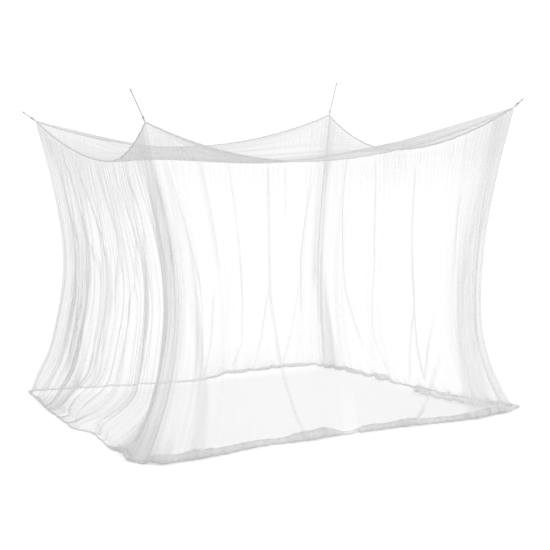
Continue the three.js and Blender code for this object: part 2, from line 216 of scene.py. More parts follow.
# Bundles of pleats: half width, pleat, depth or nought for layers alone, added layers, shares down and along
BUNDLES = {
    "front": (
        (0.034, 0.018, 0.0012, 2.8, ((0.05, 0), (1.2, 0))),
        (0.080, 0.024, 0.0010, 5.0, ((0.86, 0), (1.2, 0.015))),
        (0.055, 0.018, 0.0010, 1.6,
         ((0.1, 0.012), (0.24, 0.02), (0.49, 0.039), (0.64, 0.062), (0.79, 0.089), (1.2, 0.125))),
        (0.040, 0.018, 0.0008, 2.6, ((0.5, 0.045), (0.64, 0.066), (0.79, 0.094), (1.2, 0.118))),
        (0.120, 0.026, 0.0014, 3.0,
         ((-0.2, 0.99), (0.05, 0.986), (0.2, 0.97), (0.34, 0.95), (0.5, 0.925), (0.73, 0.898),
          (0.88, 0.878), (1.2, 0.85))),
        (0.220, 0.030, 0.0010, 0.7, ((-0.2, 0.95), (0.15, 0.93))),
        (0.100, 0.026, 0.0010, 0.9, ((-0.2, 0.65), (0.07, 0.65))),
        (0.050, 0.030, 0.0000, -0.7, ((0.74, 0.505), (1.2, 0.500))),
        (0.010, 0.030, 0.0000, 1.8,
         ((0.5, 0.311), (0.68, 0.330), (0.85, 0.361), (0.93, 0.382), (1.2, 0.41))),
        (0.016, 0.030, 0.0000, 2.8,
         ((0.78, 0.756), (0.85, 0.725), (0.91, 0.699), (0.97, 0.655), (1.2, 0.6))),
    ),
    "right": (
        (0.080, 0.020, 0.0012, 0.6, ((0, 0), (1.2, 0))),
        (0.090, 0.020, 0.0010, 3.4,
         ((0, 1), (0.31, 0.996), (0.49, 0.994), (0.68, 0.97), (0.83, 0.939), (1, 0.915))),
    ),
    "back": (
        (0.060, 0.020, 0.0010, 2.8, ((0, 0), (0.62, 0))),
        (0.500, 0.030, 0.0000, 0.7, ((0.84, 0.3), (1.2, 0.3))),
        (0.140, 0.024, 0.0020, 1.0, ((0.12, 0.95), (0.4, 0.94), (0.9, 0.93))),
    ),
    "left": (
        (0.150, 0.022, 0.0030, 1.8,
         ((0.4, 0.16), (0.57, 0.18), (0.74, 0.243), (0.85, 0.32), (0.92, 0.33), (1.2, 0.27))),
        (0.130, 0.020, 0.0030, 4.2,
         ((0.05, 0.986), (0.2, 0.977), (0.43, 0.956), (0.79, 0.95), (0.9, 0.955), (1.2, 0.955))),
        (0.120, 0.022, 0.0010, 3.0, ((0.84, 0.33), (0.92, 0.33), (1.2, 0.27))),
        (0.100, 0.020, 0.0010, 2.2, ((-0.2, 0.93), (0.06, 0.93))),
        (0.110, 0.024, 0.0010, 11.0, ((0.84, 0.972), (0.92, 0.96), (1.2, 0.955))),
        (0.200, 0.030, 0.0000, -0.7, ((0.8, 0.765), (1.2, 0.765))),
        (0.150, 0.030, 0.0000, -0.6, ((0.84, 0.495), (1.2, 0.49))),
    ),
}

# Slack lobes over the ground: depth, half width as a share, start, rim, shares down and along of the middle
LOBES = {
    "left": (
        (0.050, 0.125, 0.76, 0.95, ((0.75, 0.49), (0.86, 0.495), (1.1, 0.49))),
        (0.055, 0.145, 0.78, 0.975, ((0.8, 0.765), (1.1, 0.765))),
    ),
}

# How far the threads sweep towards the wall's start as they run out over the ground, at shares along the wall
SWEEP = {"left": ((0, 0), (0.2, 0.03), (0.4, 0.08), (0.6, 0.12), (0.8, 0.11), (0.93, 0.06), (1, 0))}

# How far the wall stands inside its plain slope just above the ground, at shares along the wall
FLARE = {"left": ((0, 0), (0.2, 0.015), (0.5, 0.03), (0.85, 0.03), (1, 0))}

# Uneven waves: seed, shortest and longest wave in metres, and how many are added up
WAVES = {
    "broad_folds": (0, 0.060, 0.120, 12),
    "small_folds": (1, 0.030, 0.055, 12),
    "fine_folds": (2, 0.017, 0.028, 10),
    "gathers": (3, 0.020, 0.060, 9),
    "ruffles": (4, 0.070, 0.240, 7),
    "roll_size": (5, 0.200, 0.600, 6),
    "tape_rise": (6, 0.030, 0.120, 6),
    "tape_side": (7, 0.030, 0.120, 6),
    "crumple": (8, 0.035, 0.160, 9),
    "roof_fan": (71, 0.070, 0.200, 7),
    "roof_edge": (81, 0.025, 0.070, 9),
    "roof_slack": (91, 0.120, 0.400, 6),
    "corner_seam": (130, 0.050, 0.200, 6),
}

# Least and most of each wave's phase, drift, sway and beat on the way down, and the shift of its sway
WAVE_LEAST = (0, -0.8, 0.3, 0.4)
WAVE_MOST = (1, 0.8, 1.4, 1.3)
SWAY_SHIFT = 3

# Shape of the drop: gap below the seam, and where and how softly the cloth turns onto the ground
SEAM_GAP = 0.002
GROUND_SHARE = 0.955
GROUND_EASE = 0.05
FLOOR_GAP = 0.0008

# Draw-in at the corners: lean of an even bow, and its reach and fade along the wall
WAIST_LEAN = 1.15
WAIST_REACH = 0.4
WAIST_FADE = 1.5

# Sweep of the threads over the ground, and the shares down at which the flare comes and goes
SWEEP_FROM = 0.8
SWEEP_POWER = 1.7
FLARE_SPAN = ((0.6, 0.88), (0.9, 1.0))

# Shares along a wall over which its folds ease out at the corners, and down it over which they grow
FOLD_END = 0.025
BUNDLE_END = 0.005
SMALL_END = 0.012
FOLD_GROWTH = 0.35
SMALL_GROWTH = 0.3

# Fades near the ground: share lost, and the shares down between which it is lost
FOLD_FOOT_FADE = (0.35, 0.8, 1.0)
FOLD_GROUND_FADE = (0.6, 0.88, 1.0)
BUNDLE_FADE = (0.85, 0.84, 0.98)
SMALL_FADE = (0.7, 0.84, 0.98)

# Shares of the depths in the tables of folds and creases that the mesh takes
FOLD_RELIEF = 0.4
CREASE_RELIEF = 0.5

# Section of a crease, the layers that its doubled cloth adds, and the half width up to which it adds them all
CREASE_CORE = 1.25
CREASE_POWER = 1.3
CREASE_LAYERS = 2.0
CREASE_NARROW = 0.016

# How far before and after its first and last rows a crease or a bundle eases in and out
CREASE_EASE = ((0.05, 0.04), (0.05, 0.04))
BUNDLE_EASE = ((0.04, 0.14), (0.06, 0.06))

# Unevenness of the pleats in a bundle, and its length in pleats
PLEAT_WOBBLE = 0.9
PLEAT_WOBBLE_LENGTH = 2.7

# Shares down over which a lobe tucks under at its rim, and by which it is full above it
LOBE_TUCK = 0.06
LOBE_FULL = 0.05

# Depth of the small folds, by their waves
SMALL_FOLDS = {"broad_folds": 0.0045, "small_folds": 0.0014, "fine_folds": 0.0004}

# Gathers below the seam: depth, shares down, drift, share at work where the wall is slack, and added layers
GATHER_DEPTH = 0.0016
GATHER_SPAN = ((0.0, 0.03), (0.03, 0.22))
GATHER_DRIFT = 0.3
GATHER_SLACK = 0.4
GATHER_LAYERS = 0.8
GATHER_UNEVEN = 0.7

# Ruffles above the hem, layers added near the ground, and the least and most layers
RUFFLE_DEPTH = 0.004
RUFFLE_SPAN = (0.86, 0.985)
GROUND_LAYERS = 0.8
GROUND_LAYERS_SPAN = (0.9, 1)
LAYERS_RANGE = (0.3, 14)

# Hem roll: share down at its start, turn, size and flattening, and how it draws the foot of the wall in
ROLL_FROM = 0.889
ROLL_TURN = 4.6 * math.pi
ROLL_TIGHTEN = 0.15
ROLL_SQUASH = 0.8
ROLL_UNEVEN = 0.1
ROLL_RANGE = (0.004, 0.034)
ROLL_DRAW_POWER = 6
ROLL_END = 0.08
FLARE_ROWS = 60

# Layers in the roll: most taken from the wall, share on the outside and inside, and the turn between them
ROLL_MOST_LAYERS = 2.5
ROLL_OUTER = {"front": 2.4, "right": 0.6, "back": 0.4, "left": 0.8}
ROLL_INNER = 0.5
ROLL_INNER_TURN = (5, 7)

# Crumpling of the roll, and the rise and layers of the slack strip that doubles back inside it
CRUMPLE_DRIFT = 0.12
CRUMPLE_TURN = 2
CRUMPLE_ROLL = 0.05
CRUMPLE_FLAP = 0.2
FLAP_TURN = 2.2
FLAP_RISE = 0.06
FLAP_RISE_TURN = (3, 8)
FLAP_LAYERS = 4

# Roof: cloth, plan, belly, and the wrinkles of its corners, edges and middle
ROOF_CLOTH = (2.1, 1.7)
ROOF_PLAN = (2.0, 1.62)
ROOF_BELLY = 0.044
ROOF_EDGE_GUARD = 1e-4
FAN_DEPTH = 0.0012
FAN_SPREAD = 0.6
FAN_DRIFT = 0.25
FAN_SPAN = ((0.02, 0.25), (0.3, 0.85))
ROOF_EDGE_DEPTH = 0.0009
ROOF_EDGE_SPAN = ((0, 0.02), (0.04, 0.22))
ROOF_SLACK_DEPTH = 0.003

# Layers of the roof, where it is thinner, and a distance that keeps the hem's finish off it
ROOF_LAYERS = 1.3
ROOF_LAYERS_LOST = 0.5
ROOF_THIN_ACROSS = (0.3, 0.7)
ROOF_THIN_BACK = (0.25, 0.6)
ROOF_HEM_CLEAR = 0.05

# Points of the panels: rows of a wall and of its roll, roof spacing, and how far points bunch at edges
WALL_ROWS = 96
ROLL_ROWS = 41
ROOF_SPACING = 0.011
WALL_BUNCH = 0.4
ROW_BUNCH = 0.35
ROOF_BUNCH = 0.2

# Tabs, along the line of each cord from its corner: foot, eye, section, and the bars of stitches across it
TAB_FOOT = 0.002
TAB_FOOT_HALF = 0.0007
TAB_LEG_POINTS = 12
TAB_LEG_POWER = 3
TAB_EYE = 0.0205
TAB_EYE_RADIUS = 0.0024
TAB_EYE_OPEN = 125
TAB_EYE_POINTS = 21
TAB_HALF_HEIGHT = 0.005
TAB_SECTION = (
    (1, -0.94), (0.5, -1), (-0.5, -1), (-1, -0.94), (-1, 0),
    (-1, 0.94), (-0.5, 1), (0.5, 1), (1, 0.94), (1, 0),
)
BAR_PLACES = (0.0095, 0.0125)
BAR_HALF_HEIGHT = 0.0038
BAR_STITCHES = 9
BAR_OUT = 0.00135
BAR_SLANT = 0.35
BAR_STITCH = (0.0026, 0.0003)

# Tape and seams: section, hold at the ends, step, puckers, stitches, and the narrow seam below each corner
TAPE_THICKNESS = 0.0008
TAPE_INSIDE = ((-1, -1), (-1, 0.55), (1, 0.55), (1, -1))
TAPE_OUTSIDE = ((1, -1), (1, 0.62), (0.72, 0.92), (0, 1))
TAPE_HOLD = 0.004
TAPE_STEP = 0.006
TAPE_END = 0.02
TAPE_PUCKER_RISE = 0.0007
TAPE_PUCKER_SIDE = 0.0009
STITCH_LOW = 0.45
STITCH_LENGTH = 0.72
STITCH_RADIUS = 0.00032
STITCH_PROFILE = ((-0.5, 0.25), (-0.32, 0.9), (0.32, 0.9), (0.5, 0.25))
STITCH_SIDES = 5
SEAM_SPAN = (0.004, 0.985)
SEAM_STEPS = 150
SEAM_LENGTH = 1.55
SEAM_PUCKER = 0.0012
SEAM_HALF = (0.0005, 0.0010)
SEAM_SECTION = ((-1, -1), (1, -1), (1, 0), (0.6, 1), (-0.6, 1), (-1, 0))

# Cords, hitches and knots: steps, sides, yarn as a share of the cord, and sizes along and around the cord
CORD_STEP = 0.0011
CORD_LEAST_STEPS = 24
CORD_SIDES = 18
STRANDS = 3
STRAND_DEPTH = 0.20
KNOT_REACH = 0.0031
KNOT_WAVE = 0.0018
KNOT_YARN = 0.4
KNOT_SIDES = 12
KNOT_POINTS = 97
TAIL_LENGTH = 0.011
TAIL_START = 0.001
TAIL_BEND = (0.0012, -0.002)
TAIL_POINTS = 12
HITCH_YARN = 0.33
HITCH_SIDES = 10
HITCH_LEG = 0.0062
HITCH_LEG_POINTS = 10
HITCH_BEND_POINTS = 14
HITCH_DRAW_POWER = 1.2
HITCH_CLEAR = 1.3
HITCH_COIL_START = 0.006
HITCH_COIL_PITCH = 0.002755
HITCH_COIL_TURNS = 3
HITCH_COIL_CLEAR = 0.7
HITCH_COIL_POINTS = 80

# Net finish: drawn threads and their mean, share of the cover that holes leave even, hem edge and stitches
THREAD_EDGE = (0.0, -1.2)
THREAD_MEAN = 0.4273
EVEN_COVER = 0.75
TONE_COVER = (0.3, 0.85)
HEM_SOFTNESS = 0.001
HEM_STITCH_INSET = 0.003
HEM_STITCH_PITCH = 0.0042
HEM_STITCH_GAP = (-0.5, 0.0)
HEM_STITCH_EDGE = (0.0009, 0.0005)
HEM_STITCH_COVER = 0.5
MOST_COVER = 0.9
LEAST_SLANT = 0.1

# Fine gathers drawn in the net: scales across and down with their shares, growth with the layers, and least
STREAK_SCALES = (((12.0, 0.45, 1.0), 0.6), ((30.0, 0.9, 1.0), 0.4))
STREAK_MEAN = 0.5
STREAK_GROWTH = (0.9, 2.4, 0.0, 3.2)
STREAK_LEAST = 0.25

# Uneven tone of the finishes: details, scales to the metre, and the shades, roughness and relief; the trim's
# shades also paint shade between its yarns
TONE_DETAIL = {"Broad": 2.0, "Grain": 3.0}
TONE_RANGE = (0.65, 1.35)
NET_TONE = {"Broad": 5.0, "Grain": 260.0}
NET_SHADES = (0.94, 1.04)
NET_ROUGHNESS = (0.92, 0.72)
NET_RELIEF = (0.35, 0.0003)
TRIM_TONE = {"Broad": 30.0, "Grain": 700.0}
TRIM_PAINTED_SHADE_AND_TONE = (0.78, 1.06)
TRIM_ROUGHNESS_SPAN = 0.1
TRIM_RELIEF = (0.6, 0.0002)
FLOOR_TONE = {"Broad": 0.4, "Grain": 3.0}
FLOOR_SHADES = (0.995, 1.0)

# Woven trim: the setting that holds its colour, pitch of the yarns, and roughness
WEAVES = {
    "binding_tape": ("tape_colour", 0.0011, 0.8),
    "sewing_thread": ("thread_colour", 0.0005, 0.6),
    "laid_cord": ("cord_colour", 0.0008, 0.7),
}

# Stage: film width, key lamp in degrees, layers a line of sight may pass, floor, and its part under the net,
# where a painted shade lessens its glow
FILM_WIDTH = 36.0
VIEW_REACH = 200.0
KEY_SPREAD = 70
KEY_TILT = 56
KEY_TURN = 25
CLEAR_BOUNCES = 96
FLOOR_REACH = 500.0
FLOOR_POINTS = 9
FLOOR_DEPTH = -0.0006
PAINTED_SHADE_HALF = {"X": 1.0, "Y": 0.8}
PAINTED_SHADE_EDGE = (-0.15, 0.12)
PAINTED_SHADE_GLOW = 0.5

UP = np.array((0.0, 0.0, 1.0))
NEAR_UPRIGHT = 0.1


def smooth(value, low=0.0, high=1.0):
    share = np.clip((np.asarray(value, float) - low) / (high - low), 0, 1)
    return share * share * (3 - 2 * share)


def between(value, rise, fall):
    """Nought, eased up to one over the first pair of limits and back to nought over the second."""
    return smooth(value, *rise) * (1 - smooth(value, *fall))


def faded(value, lost, start, end):
    return 1 - lost * smooth(value, start, end)


def off_ends(share, reach):
    """One along a wall, eased to nought at both ends."""
    return smooth(np.minimum(share, 1 - share), 0, reach)


def eased(rows, share):
    """Values of a table of shares and values, eased from row to row."""
    at, value = np.array(rows, float).T
    after = np.clip(np.searchsorted(at, share), 1, len(at) - 1)
    part = smooth((share - at[after - 1]) / (at[after] - at[after - 1]))
    return value[after - 1] + (value[after] - value[after - 1]) * part


def curve(rows, share):
    """Values of a table of shares and values, on a smooth line through its rows."""
    at, value = np.array(rows, float).T
    slope = np.gradient(value, at)
    after = np.clip(np.searchsorted(at, share), 1, len(at) - 1)
    gap = at[after] - at[after - 1]
    part = np.clip((share - at[after - 1]) / gap, 0, 1)
    bend = slope[after - 1] * part * (1 - part) ** 2 - slope[after] * part**2 * (1 - part)
    return value[after - 1] + (value[after] - value[after - 1]) * smooth(part) + gap * bend


def streaks(kind, first, run, drop):
    """Uneven upright waves of about unit height along the cloth, drifting a little on the way down."""
    seed, shortest, longest, count = WAVES[kind]
    rng = np.random.default_rng(first + seed)
    total = np.zeros_like(run)
    for _ in range(count):
        wave = shortest * (longest / shortest) ** rng.random()
        phase, drift, sway, beat = rng.uniform(WAVE_LEAST, WAVE_MOST)
        bend = sway * np.sin(2 * np.pi * (drop * beat + phase * SWAY_SHIFT))
        total += np.cos(2 * np.pi * (run / wave + drift * drop + phase) + bend)
    return total / math.sqrt(count / 2)


def unit(vector):
    return vector / np.linalg.norm(vector, axis=-1, keepdims=True)


def walked(path):
    """Distance along a path at each of its points."""
    return np.concatenate(((0,), np.cumsum(np.linalg.norm(np.diff(path, axis=0), axis=1))))


def end_bunched(count, bunch):
    """Shares from 0 to 1, closer together at both ends."""
    even = np.linspace(0, 1, count)
    return even - bunch * np.sin(2 * np.pi * even) / (2 * np.pi)


def ends_of(wall, key):
    return [np.array(CORNERS[name][key]) for name in WALLS[wall]["ends"]]


def outward(wall):
    start, end = ends_of(wall, "top")
    return np.cross(unit((end - start) * (1, 1, 0)), UP)


def wall_length(wall):
    start, end = ends_of(wall, "top")
    return float(np.linalg.norm(end - start))


def seam_sag(wall, share):
    low = WALLS[wall]["low"]
    reach = np.where(share < low, low, 1 - low)
    return WALLS[wall]["sag"] * (1 - ((share - low) / reach) ** 2)


def seam_bow(wall, share):
    return WALLS[wall]["bow"] * 4 * share * (1 - share)


def seam_line(wall, share):
    """The sewn top edge of a wall, which is also an edge of the roof."""
    start, end = ends_of(wall, "top")
    line = start + (end - start) * share[..., None]
    line = line - outward(wall) * seam_bow(wall, share)[..., None]
    line[..., 2] -= seam_sag(wall, share)
    return line


def hem_line(wall, share):
    start, end = ends_of(wall, "hem")
    line = start + (end - start) * share[..., None]
    return line + outward(wall) * eased(HEM_OUT[wall], share)[..., None]


def height_share(drop):
    """Height left at a share of the drop: a straight fall that turns softly onto the ground."""

    def soft(above):
        return (above + np.hypot(above, GROUND_EASE)) / 2

    rest = soft(1 - 1 / GROUND_SHARE)
    return (soft(1 - drop / GROUND_SHARE) - rest) / (soft(1.0) - rest)


def waist_pull(wall, corner, nearness, drop):
    """A corner's draw-in, which fades evenly across the wall and faster along it."""
    out = outward(wall)
    run = np.cross(UP, out)
    pull = np.array(CORNERS[corner]["waist"])
    gathered = np.clip(1 - (1 - nearness) / WAIST_REACH, 0, None) ** WAIST_FADE
    drawn = curve(DRAW[corner], drop) if corner in DRAW else np.sin(np.pi * drop**WAIST_LEAN)
    return out * (pull @ out * nearness * drawn)[..., None] + run * (pull @ run * gathered * drawn)[..., None]


def wall_base(wall, share, drop):
    """The hung wall without its folds."""
    top = seam_line(wall, share)
    foot = hem_line(wall, share)
    place = top + (foot - top) * drop[..., None]
    start, end = WALLS[wall]["ends"]
    place = place + waist_pull(wall, start, 1 - share, drop) + waist_pull(wall, end, share, drop)
    place[..., 2] = FLOOR_GAP + (top[..., 2] - SEAM_GAP - FLOOR_GAP) * height_share(drop)
    return place


def flared_base(wall, share, drop):
    """The hung wall, with its threads swept aside and its foot spread where it meets the ground."""
    place = share
    if wall in SWEEP:
        swept = np.clip((drop - SWEEP_FROM) / (1 - SWEEP_FROM), 0, 1) ** SWEEP_POWER
        place = share - eased(SWEEP[wall], share) * swept
    base = wall_base(wall, place, drop)
    if wall in FLARE:
        inside = eased(FLARE[wall], share) * between(drop, *FLARE_SPAN)
        base = base - outward(wall) * inside[..., None]
    return base


def off_path(path, share, drop):
    """How far along the wall from a path a point lies, as a share, and the path's shares down."""
    down, along = np.array(path).T
    return share - np.interp(drop, down, along), down


def path_span(drop, down, ease):
    """One along a path's shares down, eased in at its first row and out at its last."""
    limits = [(row - before, row + after) for row, (before, after) in zip((down[0], down[-1]), ease)]
    return between(drop, *limits)


def large_folds(wall, share, drop):
    length = wall_length(wall)
    depth = np.zeros_like(share)
    for at, foot, width, deep in FOLDS[wall]:
        middle = at + (foot - at) * drop
        depth += deep * smooth(1 - np.abs(share - middle) * length / width)
    near_ground = faded(drop, *FOLD_FOOT_FADE) * faded(drop, *FOLD_GROUND_FADE)
    return depth * off_ends(share, FOLD_END) * near_ground * smooth(drop, 0, FOLD_GROWTH)


def sharp_creases(wall, share, drop):
    """Depth of the creases, and the layers that their doubled cloth adds."""
    length = wall_length(wall)
    depth = np.zeros_like(share)
    layers = np.zeros_like(share)
    for width, deep, path in CREASES[wall]:
        off, down = off_path(path, share, drop)
        near = np.clip(CREASE_CORE - np.abs(off) * length / width, 0, 1)
        span = path_span(drop, down, CREASE_EASE)
        depth += deep * near**CREASE_POWER * span
        layers += CREASE_LAYERS * min(1, CREASE_NARROW / width) * near * span
    return depth, layers


def bundled_pleats(wall, share, drop):
    """Depth of the pleats in the bundles, and the layers of cloth at each point of a wall."""
    length = wall_length(wall)
    slack, full = FULLNESS[wall]
    depth = np.zeros_like(share)
    layers = slack + (full - slack) * eased(PLEATS[wall], share)
    for width, pleat, deep, added, path in BUNDLES[wall]:
        off, down = off_path(path, share, drop)
        window = smooth(2 - 2 * np.abs(off) * length / width) * path_span(drop, down, BUNDLE_EASE)
        turn = 2 * np.pi * off * length / pleat
        depth += deep * window * np.sin(turn + PLEAT_WOBBLE * np.sin(turn / PLEAT_WOBBLE_LENGTH))
        layers = layers + added * window
    return depth * off_ends(share, BUNDLE_END) * faded(drop, *BUNDLE_FADE), layers


def ground_lobes(wall, share, drop):
    """Depth of the slack lobes: full below, tucked back under at the rim, with a deep crease on each side."""
    depth = np.zeros_like(share)
    for deep, width, start, rim, path in LOBES.get(wall, ()):
        off, _ = off_path(path, share, drop)
        body = np.sqrt(np.clip(1 - (off / width) ** 2, 0, 1))
        tuck = np.sqrt(np.clip(1 - np.clip(1 + (drop - rim) / LOBE_TUCK, 0, 1) ** 2, 0, 1))
        depth += deep * body * tuck * smooth(drop, start, rim - LOBE_FULL)
    return depth


def wall_folds(wall, share, drop):
    """Depth of all the folds of a wall, and the layers of cloth at each of its points."""
    seed = WALLS[wall]["seed"]
    run = share * WALLS[wall]["cloth"][0]
    pleated = eased(PLEATS[wall], share)
    ends = off_ends(share, SMALL_END)
    depth, layers = bundled_pleats(wall, share, drop)
    creases, doubled = sharp_creases(wall, share, drop)
    depth += FOLD_RELIEF * large_folds(wall, share, drop) + CREASE_RELIEF * creases
    depth += ground_lobes(wall, share, drop)
    strength = pleated * smooth(drop, 0, SMALL_GROWTH) * faded(drop, *SMALL_FADE) * ends
    for kind, deep in SMALL_FOLDS.items():
        depth += deep * streaks(kind, seed, run, drop) * strength
    gathers = streaks("gathers", seed, run, drop * GATHER_DRIFT)
    tops = between(drop, *GATHER_SPAN) * (GATHER_SLACK + (1 - GATHER_SLACK) * pleated)
    depth += GATHER_DEPTH * gathers * tops * ends
    ruffles = streaks("ruffles", seed, run, 0 * drop)
    depth += RUFFLE_DEPTH * ruffles * smooth(drop, *RUFFLE_SPAN) * ends
    layers = layers + doubled + GROUND_LAYERS * smooth(drop, *GROUND_LAYERS_SPAN)
    layers = layers + tops * (GATHER_LAYERS + GATHER_UNEVEN * gathers)
    return depth, np.clip(layers, *LAYERS_RANGE)


def roll_radius(wall, share):
    uneven = streaks("roll_size", WALLS[wall]["seed"], share * WALLS[wall]["cloth"][0], 0 * share)
    return np.clip(eased(HEM_ROLL[wall], share) * (1 + ROLL_UNEVEN * uneven), *ROLL_RANGE)


def roll_direction(wall, base, share):
    """Level directions in which the hem rolls: out of the wall, and along the corners' flare at its ends."""
    flare = (base[-1] - base[-FLARE_ROWS]) * (1, 1, 0)
    near_start = 1 - smooth(share, 0, ROLL_END)[:, None]
    near_end = smooth(share, 1 - ROLL_END, 1)[:, None]
    middle = 1 - near_start - near_end
    return unit(unit(flare[0]) * near_start + unit(flare[-1]) * near_end + outward(wall) * middle)


def hem_roll(wall, share, down, radius, out, layers):
    """How far the roll carries each point of a wall, and the layers of cloth with those in the roll."""
    turn = np.clip((down - ROLL_FROM) / (1 - ROLL_FROM), 0, 1) * ROLL_TURN
    flap = eased(FLAP[wall], share) if wall in FLAP else 0 * share
    outer = ROLL_OUTER[wall] + FLAP_LAYERS * flap
    wound = outer + (ROLL_INNER - outer) * smooth(turn, *ROLL_INNER_TURN)
    wound = np.minimum(layers, ROLL_MOST_LAYERS) * wound
    layers = layers + (wound - layers) * smooth(turn)
    run = share * WALLS[wall]["cloth"][0]
    crumple = streaks("crumple", WALLS[wall]["seed"], run, turn * CRUMPLE_DRIFT)
    crumple = crumple * smooth(turn, 0, CRUMPLE_TURN)
    coil = radius * (1 - ROLL_TIGHTEN * turn / (2 * np.pi)) * (1 + CRUMPLE_ROLL * crumple)
    lain = flap * smooth(turn, 0, FLAP_TURN)
    rise = ROLL_SQUASH * (radius - coil * np.cos(turn))
    rise += FLAP_RISE * lain * (1 - smooth(turn, *FLAP_RISE_TURN)) * (1 + CRUMPLE_FLAP * crumple)
    return out * (coil * np.sin(turn) - lain)[..., None] + UP * rise[..., None], layers


def hung_normals(base, drop):
    """Directions out of the hung rows of a wall. The rows of its roll take the last hung row's."""
    hung = int(np.sum(drop <= ROLL_FROM))
    along = np.gradient(base[:hung], axis=1)
    down = np.gradient(base[:hung], axis=0)
    normals = unit(np.cross(down, along))
    return np.concatenate((normals, np.repeat(normals[-1:], len(drop) - hung, 0)))


def wall_surface(wall, share, drop, fold_depth):
    """Points of a wall with its folds and its hem in a loose roll, and the layers of cloth at each."""
    along, down = np.meshgrid(share, drop)
    fall = np.minimum(down / ROLL_FROM, 1)
    radius = roll_radius(wall, share)
    base = flared_base(wall, along, fall)
    out = roll_direction(wall, base, share)
    base = base - out * (radius * fall**ROLL_DRAW_POWER)[..., None]
    depth, layers = wall_folds(wall, along, fall)
    place = base + hung_normals(base, drop) * (depth * fold_depth)[..., None]
    place[..., 2] = np.maximum(place[..., 2], FLOOR_GAP)
    rolled, layers = hem_roll(wall, along, down, radius, out, layers)
    return place + rolled, layers


def roof_middle(a, b):
    return 16 * a * (1 - a) * b * (1 - b)


def roof_surface(across, back):
    """Points of the roof between its four sagging edges, from left to right and from front to back."""
    guard = (ROOF_EDGE_GUARD, 1 - ROOF_EDGE_GUARD)
    a, b = np.meshgrid(np.clip(across, *guard), np.clip(back, *guard))
    edges = (("front", a, b), ("right", b, 1 - a), ("back", 1 - a, 1 - b), ("left", 1 - b, a))
    place = np.zeros(a.shape + (3,))
    sag = np.zeros_like(a)
    weights = np.zeros_like(a)
    for wall, share, away in edges:
        start, end = ends_of(wall, "top")
        place += (start + (end - start) * share[..., None]) * ((1 - away) / 2)[..., None]
        place -= outward(wall) * (seam_bow(wall, share) * (1 - away))[..., None]
        sag += seam_sag(wall, share) / away**2
        weights += 1 / away**2
    place[..., 2] += roof_wrinkles(a, b) - sag / weights - ROOF_BELLY * roof_middle(a, b)
    return place


def roof_wrinkles(a, b):
    """Fans of wrinkles from the pulled corners, gathers along the edges and slack waves in the middle."""
    wide, deep = ROOF_PLAN
    left, right = a * wide, (1 - a) * wide
    front, back = b * deep, (1 - b) * deep
    height = np.zeros_like(a)
    for n, (x, y) in enumerate(((left, front), (right, front), (right, back), (left, back))):
        far = np.hypot(x, y)
        turn = np.arctan2(y, x)
        fan = streaks("roof_fan", n, turn * FAN_SPREAD, far * FAN_DRIFT)
        height += FAN_DEPTH * fan * between(far, *FAN_SPAN) * np.sin(2 * turn) ** 0.5
    for n, (run, away) in enumerate(((left, front), (left, back), (front, left), (front, right))):
        row = streaks("roof_edge", n, run, away)
        height += ROOF_EDGE_DEPTH * row * between(away, *ROOF_EDGE_SPAN)
    return height + ROOF_SLACK_DEPTH * streaks("roof_slack", 0, front, a) * roof_middle(a, b)


class Cloth:
    """Collects grids of points into one mesh, with a flat place in metres for each corner of each face."""

    def __init__(self):
        self.points = []
        self.faces = []
        self.maps = {}
        self.slots = []
        self.count = 0

    def add_grid(self, points, maps, slot=0, closed=False):
        """Faces between rows of points. A closed grid joins up around its rows and has a cap at each end."""
        rows, columns = points.shape[:2]
        index = self.count + np.arange(rows * columns).reshape(rows, columns)
        if closed:
            index = np.concatenate((index, index[:, :1]), axis=1)
        corners = (index[:-1, :-1], index[1:, :-1], index[1:, 1:], index[:-1, 1:])
        quads = np.stack(corners, -1).reshape(-1, 4)
        self.points.append(points.reshape(-1, 3))
        self.faces.extend(quads.tolist())
        for name, flat in maps.items():
            parts = (flat[:-1, :-1], flat[1:, :-1], flat[1:, 1:], flat[:-1, 1:])
            self.maps.setdefault(name, []).append(np.stack(parts, 2).reshape(-1, 2))
        self.slots.append(np.full(len(quads), slot))
        if closed:
            self.faces.append(index[0, :-1].tolist())
            self.faces.append(index[-1, :-1][::-1].tolist())
            for name, flat in maps.items():
                self.maps[name].append(np.repeat(flat[:1, 0], columns, 0))
                self.maps[name].append(np.repeat(flat[-1:, 0], columns, 0))
            self.slots.append(np.full(2, slot))
        self.count += rows * columns

    def add_closed(self, points, flat, slot=0):
        self.add_grid(points, {"cloth": flat}, slot, closed=True)

    def add_sweep(self, path, hint, section):
        """A closed section carried along a path, with its second offset towards the hint."""
        side, rise = path_frames(path, hint)
        self.add_closed(sweep(path, side, rise, section), swept_map(path, section))

    def make(self, name, materials):
        mesh = bpy.data.meshes.new(name)
        mesh.from_pydata(np.concatenate(self.points).tolist(), [], self.faces)
        for layer_name, parts in self.maps.items():
            layer = mesh.uv_layers.new(name=layer_name)
            layer.data.foreach_set("uv", np.concatenate(parts).astype(np.float32).ravel())
        mesh.polygons.foreach_set("material_index", np.concatenate(self.slots).astype(np.int32))
        mesh.polygons.foreach_set("use_smooth", np.ones(len(mesh.polygons), bool))
        for material in materials:
            mesh.materials.append(material)
        mesh.update()
        piece = bpy.data.objects.new(name, mesh)
        bpy.context.scene.collection.objects.link(piece)
        return piece


def sweep(path, side, rise, section):
    """Points of a section, given as offsets to the side and up, carried along a path."""
    across = side[:, None] * section[None, :, 0, None]
    return path[:, None] + across + rise[:, None] * section[None, :, 1, None]


def swept_map(path, section):
    """Flat place of each point of a closed section carried along a path."""
    around = walked(np.concatenate((section, section[:1])))
    return np.stack(np.meshgrid(walked(path), around, indexing="ij"), -1)


def path_frames(path, hint):
    tangent = unit(np.gradient(path, axis=0))
    side = unit(np.cross(tangent, hint))
    return side, np.cross(side, tangent)


def ring(radius, sides):
    turn = np.linspace(0, 2 * np.pi, sides, endpoint=False)
    return np.stack((radius * np.cos(turn), radius * np.sin(turn)), -1)


